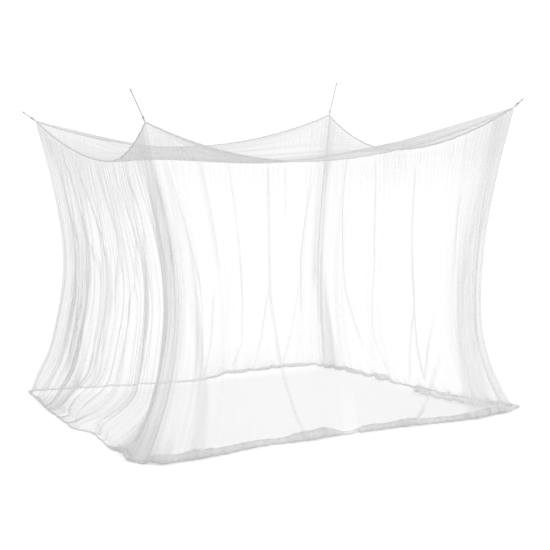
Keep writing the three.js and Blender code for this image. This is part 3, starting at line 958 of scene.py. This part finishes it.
def tube(cloth, path, radius, sides, twist=None):
    """A round tube along a path, with laid strands where a twist is given."""
    tangent = unit(np.gradient(path, axis=0))
    side = np.zeros_like(path)
    last = np.cross(tangent[0], UP)
    if np.linalg.norm(last) < NEAR_UPRIGHT:
        last = np.cross(tangent[0], (1.0, 0.0, 0.0))
    for n, direction in enumerate(tangent):
        last = unit(last - direction * (last @ direction))
        side[n] = last
    section = ring(radius, sides)
    flat = swept_map(path, section)
    points = sweep(path, side, np.cross(tangent, side), section)
    if twist:
        turn = np.linspace(0, 2 * np.pi, sides, endpoint=False)
        lay = turn[None, :] - 2 * np.pi * flat[:, :1, 0] / twist
        lobe = 1 - STRAND_DEPTH + STRAND_DEPTH * np.abs(np.cos(STRANDS / 2 * lay))
        points = path[:, None] + (points - path[:, None]) * lobe[..., None]
    cloth.add_closed(points, flat)


def stitch_row(cloth, places, tangents, normals, length, radius):
    """Short raised stitches of sewing thread, one at each place."""
    profile = np.array(STITCH_PROFILE)
    section = ring(1.0, STITCH_SIDES)
    flat = np.zeros((len(profile), len(section) + 1, 2))
    flat[..., 0] = profile[:, :1] * length
    sides = np.cross(tangents, normals)
    for place, tangent, normal, side in zip(places, tangents, normals, sides):
        middle = place + np.outer(profile[:, 0] * length, tangent)
        reach = profile[:, 1] * radius
        around = section[:, :1] * side + section[:, 1:] * normal
        cloth.add_closed(middle[:, None] + reach[:, None, None] * around[None], flat, slot=1)


class CornerLine:
    """The line of one corner's cord, with its level and rising directions."""

    def __init__(self, name):
        run = np.array(CORNERS[name]["cord"])
        self.start = np.array(CORNERS[name]["top"])
        self.reach = float(np.linalg.norm(run))
        self.along = unit(run)
        self.level = unit(np.cross(UP, self.along))
        self.rise = np.cross(self.along, self.level)

    def place(self, along, level, rise):
        """Points at distances along the line, to its level side and up from it."""
        local = np.stack(np.broadcast_arrays(along, level, rise), -1)
        return self.start + local @ np.stack((self.along, self.level, self.rise))


def set_inputs(tree, node, inputs):
    """Links or sets a node's inputs, by name or number."""
    for key, value in inputs.items():
        if isinstance(value, bpy.types.NodeSocket):
            tree.links.new(value, node.inputs[key])
        else:
            node.inputs[key].default_value = value


def add_node(tree, kind, inputs=None, **settings):
    node = tree.nodes.new(kind)
    for key, value in settings.items():
        setattr(node, key, value)
    set_inputs(tree, node, inputs or {})
    return node


def maths(tree, operation, *values):
    return add_node(tree, "ShaderNodeMath", dict(enumerate(values)), operation=operation).outputs[0]


def ramp(tree, value, low, high, start=0.0, end=1.0):
    limits = {"Value": value, "From Min": low, "From Max": high, "To Min": start, "To Max": end}
    node = add_node(tree, "ShaderNodeMapRange", limits, interpolation_type="SMOOTHSTEP")
    return node.outputs["Result"]


def toned(tree, share, colour, shades):
    """A colour that goes from the first of two shades to the second with a share."""
    node = add_node(tree, "ShaderNodeMix", {"Factor": share}, data_type="RGBA")
    sockets = [socket for socket in node.inputs if socket.type == "RGBA"]
    for socket, factor in zip(sockets, shades):
        socket.default_value = tuple(min(part * factor, 1.0) for part in colour) + (1.0,)
    return next(socket for socket in node.outputs if socket.type == "RGBA")


def split(tree, vector):
    return add_node(tree, "ShaderNodeSeparateXYZ", {"Vector": vector}).outputs


def flat_place(tree, name):
    return add_node(tree, "ShaderNodeUVMap", uv_map=name).outputs["UV"]


def camera_ray(tree):
    return add_node(tree, "ShaderNodeLightPath").outputs["Is Camera Ray"]


def new_group(name, values, result):
    """A node group with a place, named values and one result, its given sockets and its output node."""
    group = bpy.data.node_groups.new(name, "ShaderNodeTree")
    group.interface.new_socket("Place", in_out="INPUT", socket_type="NodeSocketVector")
    for value in values:
        group.interface.new_socket(value, in_out="INPUT", socket_type="NodeSocketFloat")
    group.interface.new_socket(result, in_out="OUTPUT", socket_type="NodeSocketFloat")
    return group, group.nodes.new("NodeGroupInput").outputs, group.nodes.new("NodeGroupOutput")


def use_group(tree, name, **inputs):
    return add_node(tree, "ShaderNodeGroup", inputs, node_tree=bpy.data.node_groups[name]).outputs[0]


def make_holes_group():
    """Six-sided holes of the net: one on a thread and nought in a hole, from a flat place in metres."""
    group, given, out = new_group("net_holes", ("Pitch",), "Thread")
    scale = maths(group, "DIVIDE", 4 * math.pi / math.sqrt(3), given["Pitch"])
    turned = add_node(group, "ShaderNodeVectorMath", operation="SCALE")
    set_inputs(group, turned, {0: given["Place"], "Scale": scale})
    total = 0.0
    for angle in (0, 120, 240):
        way = (math.cos(math.radians(angle)), math.sin(math.radians(angle)), 0)
        dot = add_node(group, "ShaderNodeVectorMath", operation="DOT_PRODUCT")
        set_inputs(group, dot, {0: turned.outputs["Vector"], 1: way})
        total = maths(group, "ADD", total, maths(group, "COSINE", dot.outputs["Value"]))
    set_inputs(group, out, {"Thread": ramp(group, total, *THREAD_EDGE)})


def make_tone_group():
    """Uneven tone of yarn: a broad drift and a fine grain, from nought to one."""
    group, given, out = new_group("yarn_tone", TONE_DETAIL, "Tone")
    total = 0.0
    for scale, detail in TONE_DETAIL.items():
        inputs = {"Vector": given["Place"], "Detail": detail, "Scale": given[scale]}
        noise = add_node(group, "ShaderNodeTexNoise", inputs)
        total = maths(group, "ADD", total, noise.outputs["Fac"])
    set_inputs(group, out, {"Tone": ramp(group, total, *TONE_RANGE)})


def make_gather_group():
    """Upright streaks of finely gathered cloth: a factor around one, stronger where there are more layers."""
    group, given, out = new_group("fine_gathers", ("Layers",), "Factor")
    total = 0.0
    for scale, share in STREAK_SCALES:
        stretch = add_node(group, "ShaderNodeVectorMath", operation="MULTIPLY")
        set_inputs(group, stretch, {0: given["Place"], 1: scale})
        inputs = {"Vector": stretch.outputs["Vector"], "Scale": 1.0, "Detail": 1.0}
        noise = add_node(group, "ShaderNodeTexNoise", inputs)
        total = maths(group, "MULTIPLY_ADD", noise.outputs["Fac"], share, total)
    strength = ramp(group, given["Layers"], *STREAK_GROWTH)
    factor = maths(group, "MULTIPLY_ADD", maths(group, "SUBTRACT", total, STREAK_MEAN), strength, 1.0)
    set_inputs(group, out, {"Factor": maths(group, "MAXIMUM", factor, STREAK_LEAST)})


def make_weave_group():
    """Plain weave of tape or cord: height of the yarns, from a flat place in metres."""
    group, given, out = new_group("close_weave", ("Pitch",), "Height")
    parts = split(group, given["Place"])
    scale = maths(group, "DIVIDE", 2 * math.pi, given["Pitch"])
    along = maths(group, "MULTIPLY", parts["X"], scale)
    across = maths(group, "MULTIPLY", parts["Y"], scale)
    warp = maths(group, "SINE", maths(group, "ADD", along, across))
    weft = maths(group, "SINE", maths(group, "SUBTRACT", along, across))
    product = maths(group, "MULTIPLY", warp, weft)
    set_inputs(group, out, {"Height": ramp(group, product, -1.0, 1.0)})


def new_material(name):
    material = bpy.data.materials.new(name)
    material.use_nodes = True
    tree = material.node_tree
    tree.nodes.clear()
    shader = tree.nodes.new("ShaderNodeBsdfPrincipled")
    add_node(tree, "ShaderNodeOutputMaterial", {"Surface": shader.outputs["BSDF"]})
    return material, tree, shader


def raised(tree, height, strength, distance):
    inputs = {"Height": height, "Strength": strength, "Distance": distance}
    return add_node(tree, "ShaderNodeBump", inputs).outputs["Normal"]


def net_cover(tree, settings, place, from_hem, thread, tone):
    """Share that the threads of one layer cover: more in the turned hem and on its row of stitches."""
    hem = ramp(tree, from_hem, settings.hem_band + HEM_SOFTNESS, settings.hem_band)
    row = maths(tree, "SUBTRACT", from_hem, settings.hem_band - HEM_STITCH_INSET)
    dash = maths(tree, "MULTIPLY", split(tree, place)["X"], 2 * math.pi / HEM_STITCH_PITCH)
    dash = ramp(tree, maths(tree, "SINE", dash), *HEM_STITCH_GAP)
    stitch = maths(tree, "MULTIPLY", ramp(tree, maths(tree, "ABSOLUTE", row), *HEM_STITCH_EDGE), dash)
    holes = maths(tree, "MULTIPLY_ADD", thread, (1 - EVEN_COVER) / THREAD_MEAN, EVEN_COVER)
    drift = maths(tree, "MULTIPLY_ADD", tone, *TONE_COVER)
    cover = maths(tree, "MULTIPLY", maths(tree, "MULTIPLY", holes, drift), settings.cover)
    cover = maths(tree, "MULTIPLY", cover, maths(tree, "ADD", hem, 1.0))
    cover = maths(tree, "MULTIPLY_ADD", stitch, HEM_STITCH_COVER, cover)
    return maths(tree, "MINIMUM", cover, MOST_COVER)


def net_material(settings):
    """Sheer net: threads around holes, denser seen at a slant and where there are more layers."""
    material, tree, shader = new_material("sheer_net")
    place = flat_place(tree, "cloth")
    edge = split(tree, flat_place(tree, "edge"))
    thread = use_group(tree, "net_holes", Place=place, Pitch=settings.pitch)
    tone = use_group(tree, "yarn_tone", Place=place, **NET_TONE)
    cover = net_cover(tree, settings, place, edge["X"], thread, tone)
    weight = maths(tree, "MULTIPLY_ADD", camera_ray(tree), 1.0 - settings.shade, settings.shade)
    bare = maths(tree, "SUBTRACT", 1.0, maths(tree, "MULTIPLY", cover, weight))
    facing = add_node(tree, "ShaderNodeLayerWeight", {"Blend": 0.5}).outputs["Facing"]
    slant = maths(tree, "MAXIMUM", maths(tree, "SUBTRACT", 1.0, facing), LEAST_SLANT)
    gathers = use_group(tree, "fine_gathers", Place=place, Layers=edge["Y"])
    layers = maths(tree, "DIVIDE", maths(tree, "MULTIPLY", edge["Y"], gathers), slant)
    looks = {
        "Alpha": maths(tree, "SUBTRACT", 1.0, maths(tree, "POWER", bare, layers)),
        "Base Color": toned(tree, tone, settings.colour, NET_SHADES),
        "Roughness": ramp(tree, tone, 0.0, 1.0, *NET_ROUGHNESS),
        "Normal": raised(tree, thread, *NET_RELIEF),
        "Specular IOR Level": 0.2,
    }
    set_inputs(tree, shader, looks)
    return material


def woven_material(name, colour, pitch, roughness):
    """Closely woven white trim: yarns in relief with an uneven tone, and painted shade that darkens the
    colour between the yarns and lightens it on their tops.
    """
    material, tree, shader = new_material(name)
    place = flat_place(tree, "cloth")
    height = use_group(tree, "close_weave", Place=place, Pitch=pitch)
    tone = use_group(tree, "yarn_tone", Place=place, **TRIM_TONE)
    # Half the weave's height and half random tone: the height half is painted shade, darker between the yarns
    # and lighter on their tops.
    weave_shade_and_tone = maths(tree, "MULTIPLY_ADD", height, 0.5, maths(tree, "MULTIPLY", tone, 0.5))
    dull, yarn_top_dull = roughness + TRIM_ROUGHNESS_SPAN, roughness - TRIM_ROUGHNESS_SPAN
    looks = {
        "Base Color": toned(tree, weave_shade_and_tone, colour, TRIM_PAINTED_SHADE_AND_TONE),
        "Roughness": ramp(tree, weave_shade_and_tone, 0.0, 1.0, dull, yarn_top_dull),
        "Normal": raised(tree, height, *TRIM_RELIEF),
        "Specular IOR Level": 0.25,
    }
    set_inputs(tree, shader, looks)
    return material


def floor_material(settings):
    """Pale studio floor that looks white and takes the net's soft shade, with a painted shade under the net
    where its glow to the camera is lessened.
    """
    material, tree, shader = new_material("pale_floor")
    place = add_node(tree, "ShaderNodeTexCoord").outputs["Object"]
    tone = use_group(tree, "yarn_tone", Place=place, **FLOOR_TONE)
    parts = split(tree, place)
    # Painted shade: over the net's footprint the floor's glow drops to a share, so the floor under the net
    # looks darker.
    beyond = [
        maths(tree, "SUBTRACT", maths(tree, "ABSOLUTE", parts[axis]), half)
        for axis, half in PAINTED_SHADE_HALF.items()
    ]
    glow = ramp(tree, maths(tree, "MAXIMUM", *beyond), *PAINTED_SHADE_EDGE, PAINTED_SHADE_GLOW, 1.0)
    glow = maths(tree, "MULTIPLY", camera_ray(tree), glow)
    looks = {
        "Base Color": toned(tree, tone, settings.floor_colour, FLOOR_SHADES),
        "Roughness": 1.0,
        "Specular IOR Level": 0.0,
        "Emission Strength": maths(tree, "MULTIPLY", glow, settings.floor_glow),
        "Emission Color": (1, 1, 1, 1),
    }
    set_inputs(tree, shader, looks)
    return material


def ready_materials(scene):
    """The finishes, made once and shared by the pieces."""
    if "sheer_net" not in bpy.data.materials:
        make_holes_group()
        make_tone_group()
        make_gather_group()
        make_weave_group()
        net_material(scene.net_cloth)
        for name, (colour, pitch, roughness) in WEAVES.items():
            woven_material(name, getattr(scene.net_trim, colour), pitch, roughness)
    return bpy.data.materials


def sewn_finish(scene):
    materials = ready_materials(scene)
    return [materials["binding_tape"], materials["sewing_thread"]]


def fit_out(piece, slot, *nodes):
    """Fixes a piece to the net's one body and hides the solids that it stands for."""
    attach(piece, "root")
    if nodes:
        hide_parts(*nodes)


def in_number(name, description, default, least=0.0, most=1000.0, **more):
    return FloatProperty(name=name, description=description, default=default, min=least, max=most, **more)


def in_metres(name, description, default, least, most):
    return in_number(name, description, default, least, most, unit="LENGTH", precision=4)


def in_share(name, description, default, most=1.0):
    return in_number(name, description, default, 0.0, most, subtype="FACTOR")


def in_angle(name, description, degrees):
    return in_number(name, description, math.radians(degrees), -math.pi, math.pi, subtype="ANGLE")


def in_colour(name, description, default):
    return FloatVectorProperty(
        name=name, description=description, default=default, min=0.0, max=1.0, size=3, subtype="COLOR"
    )


class NetClothSettings(bpy.types.PropertyGroup):
    """Sizes and look of the net panels"""

    cover: in_share("Thread cover", "Share of the net that its threads cover, seen square on", 0.12)
    shade: in_share("Shade", "Cover for the light, as a share of the cover seen", 0.5)
    pitch: in_metres("Mesh pitch", "Distance between neighbouring holes", 0.0024, 0.0005, 0.02)
    colour: in_colour("Thread colour", "Colour of the net's threads", (0.735, 0.735, 0.742))
    spacing: in_metres("Point spacing", "Distance between points across a wall", 0.0034, 0.002, 0.05)
    fold_depth: in_share("Fold depth", "Depth of all the folds, where one is the depth as hung", 1.0, 2.0)
    hem_band: in_metres("Hem band", "Width of the turned hem", 0.018, 0.005, 0.05)


class NetTrimSettings(bpy.types.PropertyGroup):
    """Sizes and look of the tape, tabs and cords"""

    tape_height: in_metres("Tape height", "Height of the folded tape on the top edges", 0.007, 0.004, 0.03)
    tape_depth: in_metres("Tape depth", "Thickness of the folded tape over the edges", 0.003, 0.001, 0.01)
    tape_colour: in_colour("Tape colour", "Colour of the tape and the tabs", (0.79, 0.79, 0.795))
    thread_colour: in_colour("Stitch colour", "Colour of the sewing thread", (0.70, 0.70, 0.71))
    stitch: in_metres("Stitch pitch", "Distance from one stitch to the next", 0.0046, 0.002, 0.02)
    cord_diameter: in_metres("Cord diameter", "Thickness of the corner cords", 0.005, 0.001, 0.01)
    cord_twist: in_metres("Cord lay", "Length of one turn of the cord's strands", 0.011, 0.004, 0.05)
    cord_colour: in_colour("Cord colour", "Colour of the corner cords", (0.58, 0.58, 0.57))


class NetStageSettings(bpy.types.PropertyGroup):
    """Camera, light and floor"""

    camera_place: FloatVectorProperty(
        name="Camera place",
        description="Where the camera stands",
        default=(-3.466, -6.034, 1.382),
        size=3,
        subtype="TRANSLATION",
        unit="LENGTH",
    )
    camera_turn: in_angle("Camera turn", "How far the camera looks to the right of straight ahead", 30.555)
    camera_dip: in_angle("Camera dip", "How far the camera looks below the level", 5.574)
    lens: in_number("Lens", "Focal length in millimetres", 85.09, 10.0)
    floor_colour: in_colour("Floor colour", "Colour of the floor", (0.9, 0.9, 0.9))
    floor_glow: in_number("Floor glow", "Light that the floor adds", 0.24)
    backdrop: in_number("Backdrop", "Brightness of the backdrop", 1.1)
    ambient: in_number("Soft light", "Strength of the light all round", 0.88)
    key: in_number("Key light", "Strength of the soft lamp", 0.55)


class NET_OT_stage(bpy.types.Operator):
    """Sets up the camera, the soft light, the backdrop and the pale floor"""

    bl_idname = "net.stage"
    bl_label = "Camera, light and floor"

    def execute(self, context):
        scene = context.scene
        settings = scene.net_stage
        ready_materials(scene)
        self.add_camera(scene, settings)
        self.add_light(scene, settings)
        self.add_backdrop(scene, settings)
        self.add_floor(settings)
        scene.view_settings.view_transform = "Standard"
        scene.cycles.transparent_max_bounces = CLEAR_BOUNCES
        return {"FINISHED"}

    def add_camera(self, scene, settings):
        camera = bpy.data.objects.new("camera", bpy.data.cameras.new("camera"))
        camera.data.lens = settings.lens
        camera.data.sensor_width = FILM_WIDTH
        camera.data.clip_end = VIEW_REACH
        camera.location = settings.camera_place
        camera.rotation_euler = (math.pi / 2 - settings.camera_dip, 0.0, -settings.camera_turn)
        scene.collection.objects.link(camera)
        scene.camera = camera

    def add_light(self, scene, settings):
        lamp = bpy.data.lights.new("soft_key", "SUN")
        lamp.energy = settings.key
        lamp.angle = math.radians(KEY_SPREAD)
        key = bpy.data.objects.new("soft_key", lamp)
        key.rotation_euler = (math.radians(KEY_TILT), 0.0, math.radians(KEY_TURN))
        scene.collection.objects.link(key)

    def add_backdrop(self, scene, settings):
        world = bpy.data.worlds.new("backdrop")
        world.use_nodes = True
        tree = world.node_tree
        tree.nodes.clear()
        more = settings.backdrop - settings.ambient
        strength = maths(tree, "MULTIPLY_ADD", camera_ray(tree), more, settings.ambient)
        sky = add_node(tree, "ShaderNodeBackground", {"Strength": strength, "Color": (1, 1, 1, 1)})
        add_node(tree, "ShaderNodeOutputWorld", {"Surface": sky.outputs["Background"]})
        scene.world = world

    def add_floor(self, settings):
        line = np.linspace(-FLOOR_REACH, FLOOR_REACH, FLOOR_POINTS)
        x, y = np.meshgrid(line, -line)
        points = np.stack((x, y, np.full_like(x, FLOOR_DEPTH)), -1)
        cloth = Cloth()
        cloth.add_grid(points, {"cloth": points[..., :2]})
        floor = cloth.make("floor", [floor_material(settings)])


class NET_OT_cords(bpy.types.Operator):
    """Makes the four corner cords with their hitches and end knots"""

    bl_idname = "net.cords"
    bl_label = "Cords and knots"

    def execute(self, context):
        trim = context.scene.net_trim
        finish = ready_materials(context.scene)["laid_cord"]
        for name in CORNERS:
            line = CornerLine(name)
            knot = self.make_knot(name, line, trim, finish)
            hitch = self.make_hitch(name, line, trim, finish)
            self.make_cord(name, line, trim, finish, [knot, hitch])
        return {"FINISHED"}

    def make_cord(self, name, line, trim, finish, ends):
        length = line.reach - TAB_EYE
        steps = max(int(length / CORD_STEP), CORD_LEAST_STEPS)
        path = line.place(np.linspace(TAB_EYE, line.reach, steps), 0, 0)
        cloth = Cloth()
        tube(cloth, path, trim.cord_diameter / 2, CORD_SIDES, trim.cord_twist)
        cord = cloth.make(f"corner_cord_{name}", [finish])
        fit_out(cord, "cord", f"cord_{name}")

    def make_knot(self, name, line, trim, finish):
        """A trefoil of cord at the cord's end, with a short tail."""
        turn = np.linspace(0, 2 * np.pi, KNOT_POINTS)
        size = KNOT_REACH / 3
        loops = line.place(
            line.reach - KNOT_WAVE * np.sin(3 * turn),
            size * (np.sin(turn) + 2 * np.sin(2 * turn)),
            size * (np.cos(turn) - 2 * np.cos(2 * turn)),
        )
        run = np.linspace(0, 1, TAIL_POINTS)
        level, rise = np.outer(TAIL_BEND, run**2)
        tail = line.place(line.reach + TAIL_START + TAIL_LENGTH * run, level, rise)
        cloth = Cloth()
        for path in (loops, tail):
            tube(cloth, path, trim.cord_diameter * KNOT_YARN, KNOT_SIDES, trim.cord_twist)
        knot = cloth.make(f"end_knot_{name}", [finish])
        fit_out(knot, "cord", f"knot_{name}")
        return knot

    def make_hitch(self, name, line, trim, finish):
        """A loop of cord around the tab's eye, and a few turns around the cord beyond it."""
        radius = trim.cord_diameter * HITCH_YARN
        reach = TAB_HALF_HEIGHT + HITCH_CLEAR * radius
        bend = reach * np.sin(np.linspace(-0.5 * np.pi, 0.5 * np.pi, HITCH_BEND_POINTS))
        leg = np.linspace(0, 1, HITCH_LEG_POINTS)[1:]
        drawn = reach * np.cos(leg * np.pi / 2) ** HITCH_DRAW_POWER
        along = TAB_EYE + HITCH_LEG * np.concatenate((leg[::-1], 0 * bend, leg))
        loop = line.place(along, 0, np.concatenate((-drawn[::-1], bend, drawn)))
        wind = np.linspace(0, HITCH_COIL_TURNS * 2 * np.pi, HITCH_COIL_POINTS)
        far = trim.cord_diameter / 2 + HITCH_COIL_CLEAR * radius
        along = TAB_EYE + HITCH_COIL_START + HITCH_COIL_PITCH * wind / (2 * np.pi)
        coil = line.place(along, far * np.cos(wind), far * np.sin(wind))
        cloth = Cloth()
        tube(cloth, loop, radius, HITCH_SIDES, trim.cord_twist)
        tube(cloth, coil, radius, HITCH_SIDES)
        hitch = cloth.make(f"cord_hitch_{name}", [finish])
        fit_out(hitch, "cord")
        return hitch


class NET_OT_tabs(bpy.types.Operator):
    """Makes the four doubled tape tabs, each with an eye for its cord and a bar of stitches"""

    bl_idname = "net.tabs"
    bl_label = "Corner tabs"

    def execute(self, context):
        materials = sewn_finish(context.scene)
        for name in CORNERS:
            self.make_tab(name, CornerLine(name), materials)
        return {"FINISHED"}

    def make_tab(self, name, line, materials):
        turn = np.radians(np.linspace(-TAB_EYE_OPEN, TAB_EYE_OPEN, TAB_EYE_POINTS))
        eye = np.stack((TAB_EYE + TAB_EYE_RADIUS * np.cos(turn), TAB_EYE_RADIUS * np.sin(turn)), -1)
        leg = np.linspace(0, 1, TAB_LEG_POINTS)[:-1]
        along = TAB_FOOT + (eye[0, 0] - TAB_FOOT) * leg
        level = -TAB_FOOT_HALF + (eye[0, 1] + TAB_FOOT_HALF) * leg**TAB_LEG_POWER
        rows = np.stack((along, level), -1)
        flat = np.concatenate((rows, eye, rows[::-1] * (1, -1)))
        section = np.multiply(TAB_SECTION, (TAPE_THICKNESS / 2, TAB_HALF_HEIGHT))
        cloth = Cloth()
        cloth.add_sweep(line.place(flat[:, 0], flat[:, 1], 0), line.rise, section)
        self.add_bars(cloth, line)
        tab = cloth.make(f"corner_tab_{name}", materials)
        fit_out(tab, "tape", f"tab_{name}")

    def add_bars(self, cloth, line):
        """Close stitches across the tab, on both of its faces."""
        heights = np.linspace(-BAR_HALF_HEIGHT, BAR_HALF_HEIGHT, BAR_STITCHES)
        ways = np.tile(unit(line.along + BAR_SLANT * line.rise), (BAR_STITCHES, 1))
        for out in (-1, 1):
            normals = np.tile(out * line.level, (BAR_STITCHES, 1))
            for start in BAR_PLACES:
                stitch_row(cloth, line.place(start, out * BAR_OUT, heights), ways, normals, *BAR_STITCH)


class NET_OT_tapes(bpy.types.Operator):
    """Makes the folded tape along each top edge, with its two rows of stitches, and the corner seams"""

    bl_idname = "net.tapes"
    bl_label = "Bound edges and seams"

    def execute(self, context):
        materials = sewn_finish(context.scene)
        for wall in WALLS:
            self.make_tape(wall, context.scene.net_trim, materials)
        for n, wall in enumerate(WALLS):
            self.make_seam(wall, n, materials)
        return {"FINISHED"}

    def make_tape(self, wall, trim, materials):
        length = wall_length(wall)
        hold = TAPE_HOLD / length
        share = np.linspace(hold, 1 - hold, int(length / TAPE_STEP))
        run = share * length
        seed = WALLS[wall]["seed"]
        pucker = off_ends(share, TAPE_END)
        path = seam_line(wall, share)
        path[:, 2] += TAPE_PUCKER_RISE * streaks("tape_rise", seed, run, 0 * run) * pucker
        aside = TAPE_PUCKER_SIDE * streaks("tape_side", seed, run, 0 * run) * pucker
        path += outward(wall) * aside[:, None]
        half, deep = trim.tape_height / 2, trim.tape_depth / 2
        inside = np.multiply(TAPE_INSIDE, (deep - TAPE_THICKNESS, half))
        outside = np.multiply(TAPE_OUTSIDE, (deep, half))
        mirrored = outside[2::-1] * (-1, 1)
        cloth = Cloth()
        cloth.add_sweep(path, UP, np.concatenate((inside, outside, mirrored)))
        self.add_stitches(cloth, path, trim, -half * STITCH_LOW)
        tape = cloth.make(f"edge_tape_{wall}", materials)
        fit_out(tape, "tape", f"tape_{wall}")

    def add_stitches(self, cloth, path, trim, height):
        side, rise = path_frames(path, UP)
        far = walked(path)
        at = np.arange(trim.stitch, far[-1] - trim.stitch, trim.stitch)

        def along(values):
            return np.stack([np.interp(at, far, values[:, n]) for n in range(3)], -1)

        tangents = unit(along(np.gradient(path, axis=0)))
        for out in (-1, 1):
            places = along(path + rise * height + side * out * trim.tape_depth / 2)
            normals = unit(along(side)) * out
            stitch_row(cloth, places, tangents, normals, trim.stitch * STITCH_LENGTH, STITCH_RADIUS)

    def make_seam(self, wall, n, materials):
        """Narrow sewn seam below the corner where a wall starts."""
        name = WALLS[wall]["ends"][0]
        drop = np.linspace(*SEAM_SPAN, SEAM_STEPS)
        run = drop * SEAM_LENGTH
        out = unit(np.array(CORNERS[name]["top"]) * (1, 1, 0))
        pucker = SEAM_PUCKER * streaks("corner_seam", n, run, 0 * run)
        path = wall_base(wall, 0 * drop, drop) + np.outer(pucker, np.cross(UP, out))
        cloth = Cloth()
        cloth.add_sweep(path, out, np.multiply(SEAM_SECTION, SEAM_HALF))
        seam = cloth.make(f"corner_seam_{name}", materials)
        fit_out(seam, "tape")


class NET_OT_walls(bpy.types.Operator):
    """Makes the four hung wall panels with their folds, gathers and rolled hems"""

    bl_idname = "net.walls"
    bl_label = "Wall panels"

    def execute(self, context):
        settings = context.scene.net_cloth
        finish = ready_materials(context.scene)["sheer_net"]
        for wall in WALLS:
            self.make_wall(wall, settings, finish)
        return {"FINISHED"}

    def make_wall(self, wall, settings, finish):
        width, height = WALLS[wall]["cloth"]
        share = end_bunched(int(width / settings.spacing), WALL_BUNCH)
        hung = end_bunched(WALL_ROWS, ROW_BUNCH) * ROLL_FROM
        rolled = np.linspace(ROLL_FROM, 1, ROLL_ROWS)[1:]
        drop = np.concatenate((hung, rolled))
        points, layers = wall_surface(wall, share, drop, settings.fold_depth)
        along, down = np.meshgrid(share, drop)
        flat = np.stack((along * width, down * height), -1)
        edge = np.stack(((1 - down) * height, layers), -1)
        cloth = Cloth()
        cloth.add_grid(points, {"cloth": flat, "edge": edge})
        panel = cloth.make(f"net_wall_{wall}", [finish])
        fit_out(panel, "net", f"wall_{wall}")


class NET_OT_roof(bpy.types.Operator):
    """Makes the sagging roof panel with its corner wrinkles"""

    bl_idname = "net.roof"
    bl_label = "Roof panel"

    def execute(self, context):
        finish = ready_materials(context.scene)["sheer_net"]
        wide, deep = ROOF_CLOTH
        across = end_bunched(int(wide / ROOF_SPACING), ROOF_BUNCH)
        back = end_bunched(int(deep / ROOF_SPACING), ROOF_BUNCH)
        points = roof_surface(across, back)
        a, b = np.meshgrid(across, back)
        flat = np.stack((a * wide, b * deep), -1)
        away = np.minimum(np.minimum(a, 1 - a) * wide, np.minimum(b, 1 - b) * deep)
        layers = ROOF_LAYERS - ROOF_LAYERS_LOST * smooth(a, *ROOF_THIN_ACROSS) * smooth(b, *ROOF_THIN_BACK)
        edge = np.stack((away + ROOF_HEM_CLEAR, layers), -1)
        cloth = Cloth()
        cloth.add_grid(points[::-1], {"cloth": flat[::-1], "edge": edge[::-1]})
        roof = cloth.make("net_roof", [finish])
        fit_out(roof, "net", "roof")
        return {"FINISHED"}


class NET_PT_pieces(bpy.types.Panel):
    """Lists the net's pieces and their settings"""

    bl_idname = "NET_PT_pieces"
    bl_label = "Mosquito net"
    bl_space_type = "VIEW_3D"
    bl_region_type = "UI"
    bl_category = "Net"

    def draw(self, context):
        for operator in OPERATORS:
            self.layout.operator(operator.bl_idname, text=operator.bl_label)
        for key in SETTINGS:
            group = getattr(context.scene, key)
            box = self.layout.box()
            for name in group.bl_rna.properties.keys():
                if name not in ("rna_type", "name"):
                    box.prop(group, name)


OPERATORS = (NET_OT_stage, NET_OT_cords, NET_OT_tabs, NET_OT_tapes, NET_OT_walls, NET_OT_roof)
SETTINGS = {"net_cloth": NetClothSettings, "net_trim": NetTrimSettings, "net_stage": NetStageSettings}


def register():
    for item in (*SETTINGS.values(), *OPERATORS, NET_PT_pieces):
        bpy.utils.register_class(item)
    for key, item in SETTINGS.items():
        setattr(bpy.types.Scene, key, PointerProperty(type=item))


def unregister():
    for key in SETTINGS:
        delattr(bpy.types.Scene, key)
    for item in (NET_PT_pieces, *reversed(OPERATORS), *reversed(SETTINGS.values())):
        bpy.utils.unregister_class(item)


def main():
    register()
    bpy.ops.net.stage()
    bpy.ops.net.cords()
    bpy.ops.net.tabs()
    bpy.ops.net.tapes()
    bpy.ops.net.walls()
    bpy.ops.net.roof()


if __name__ == "__main__":
    main()
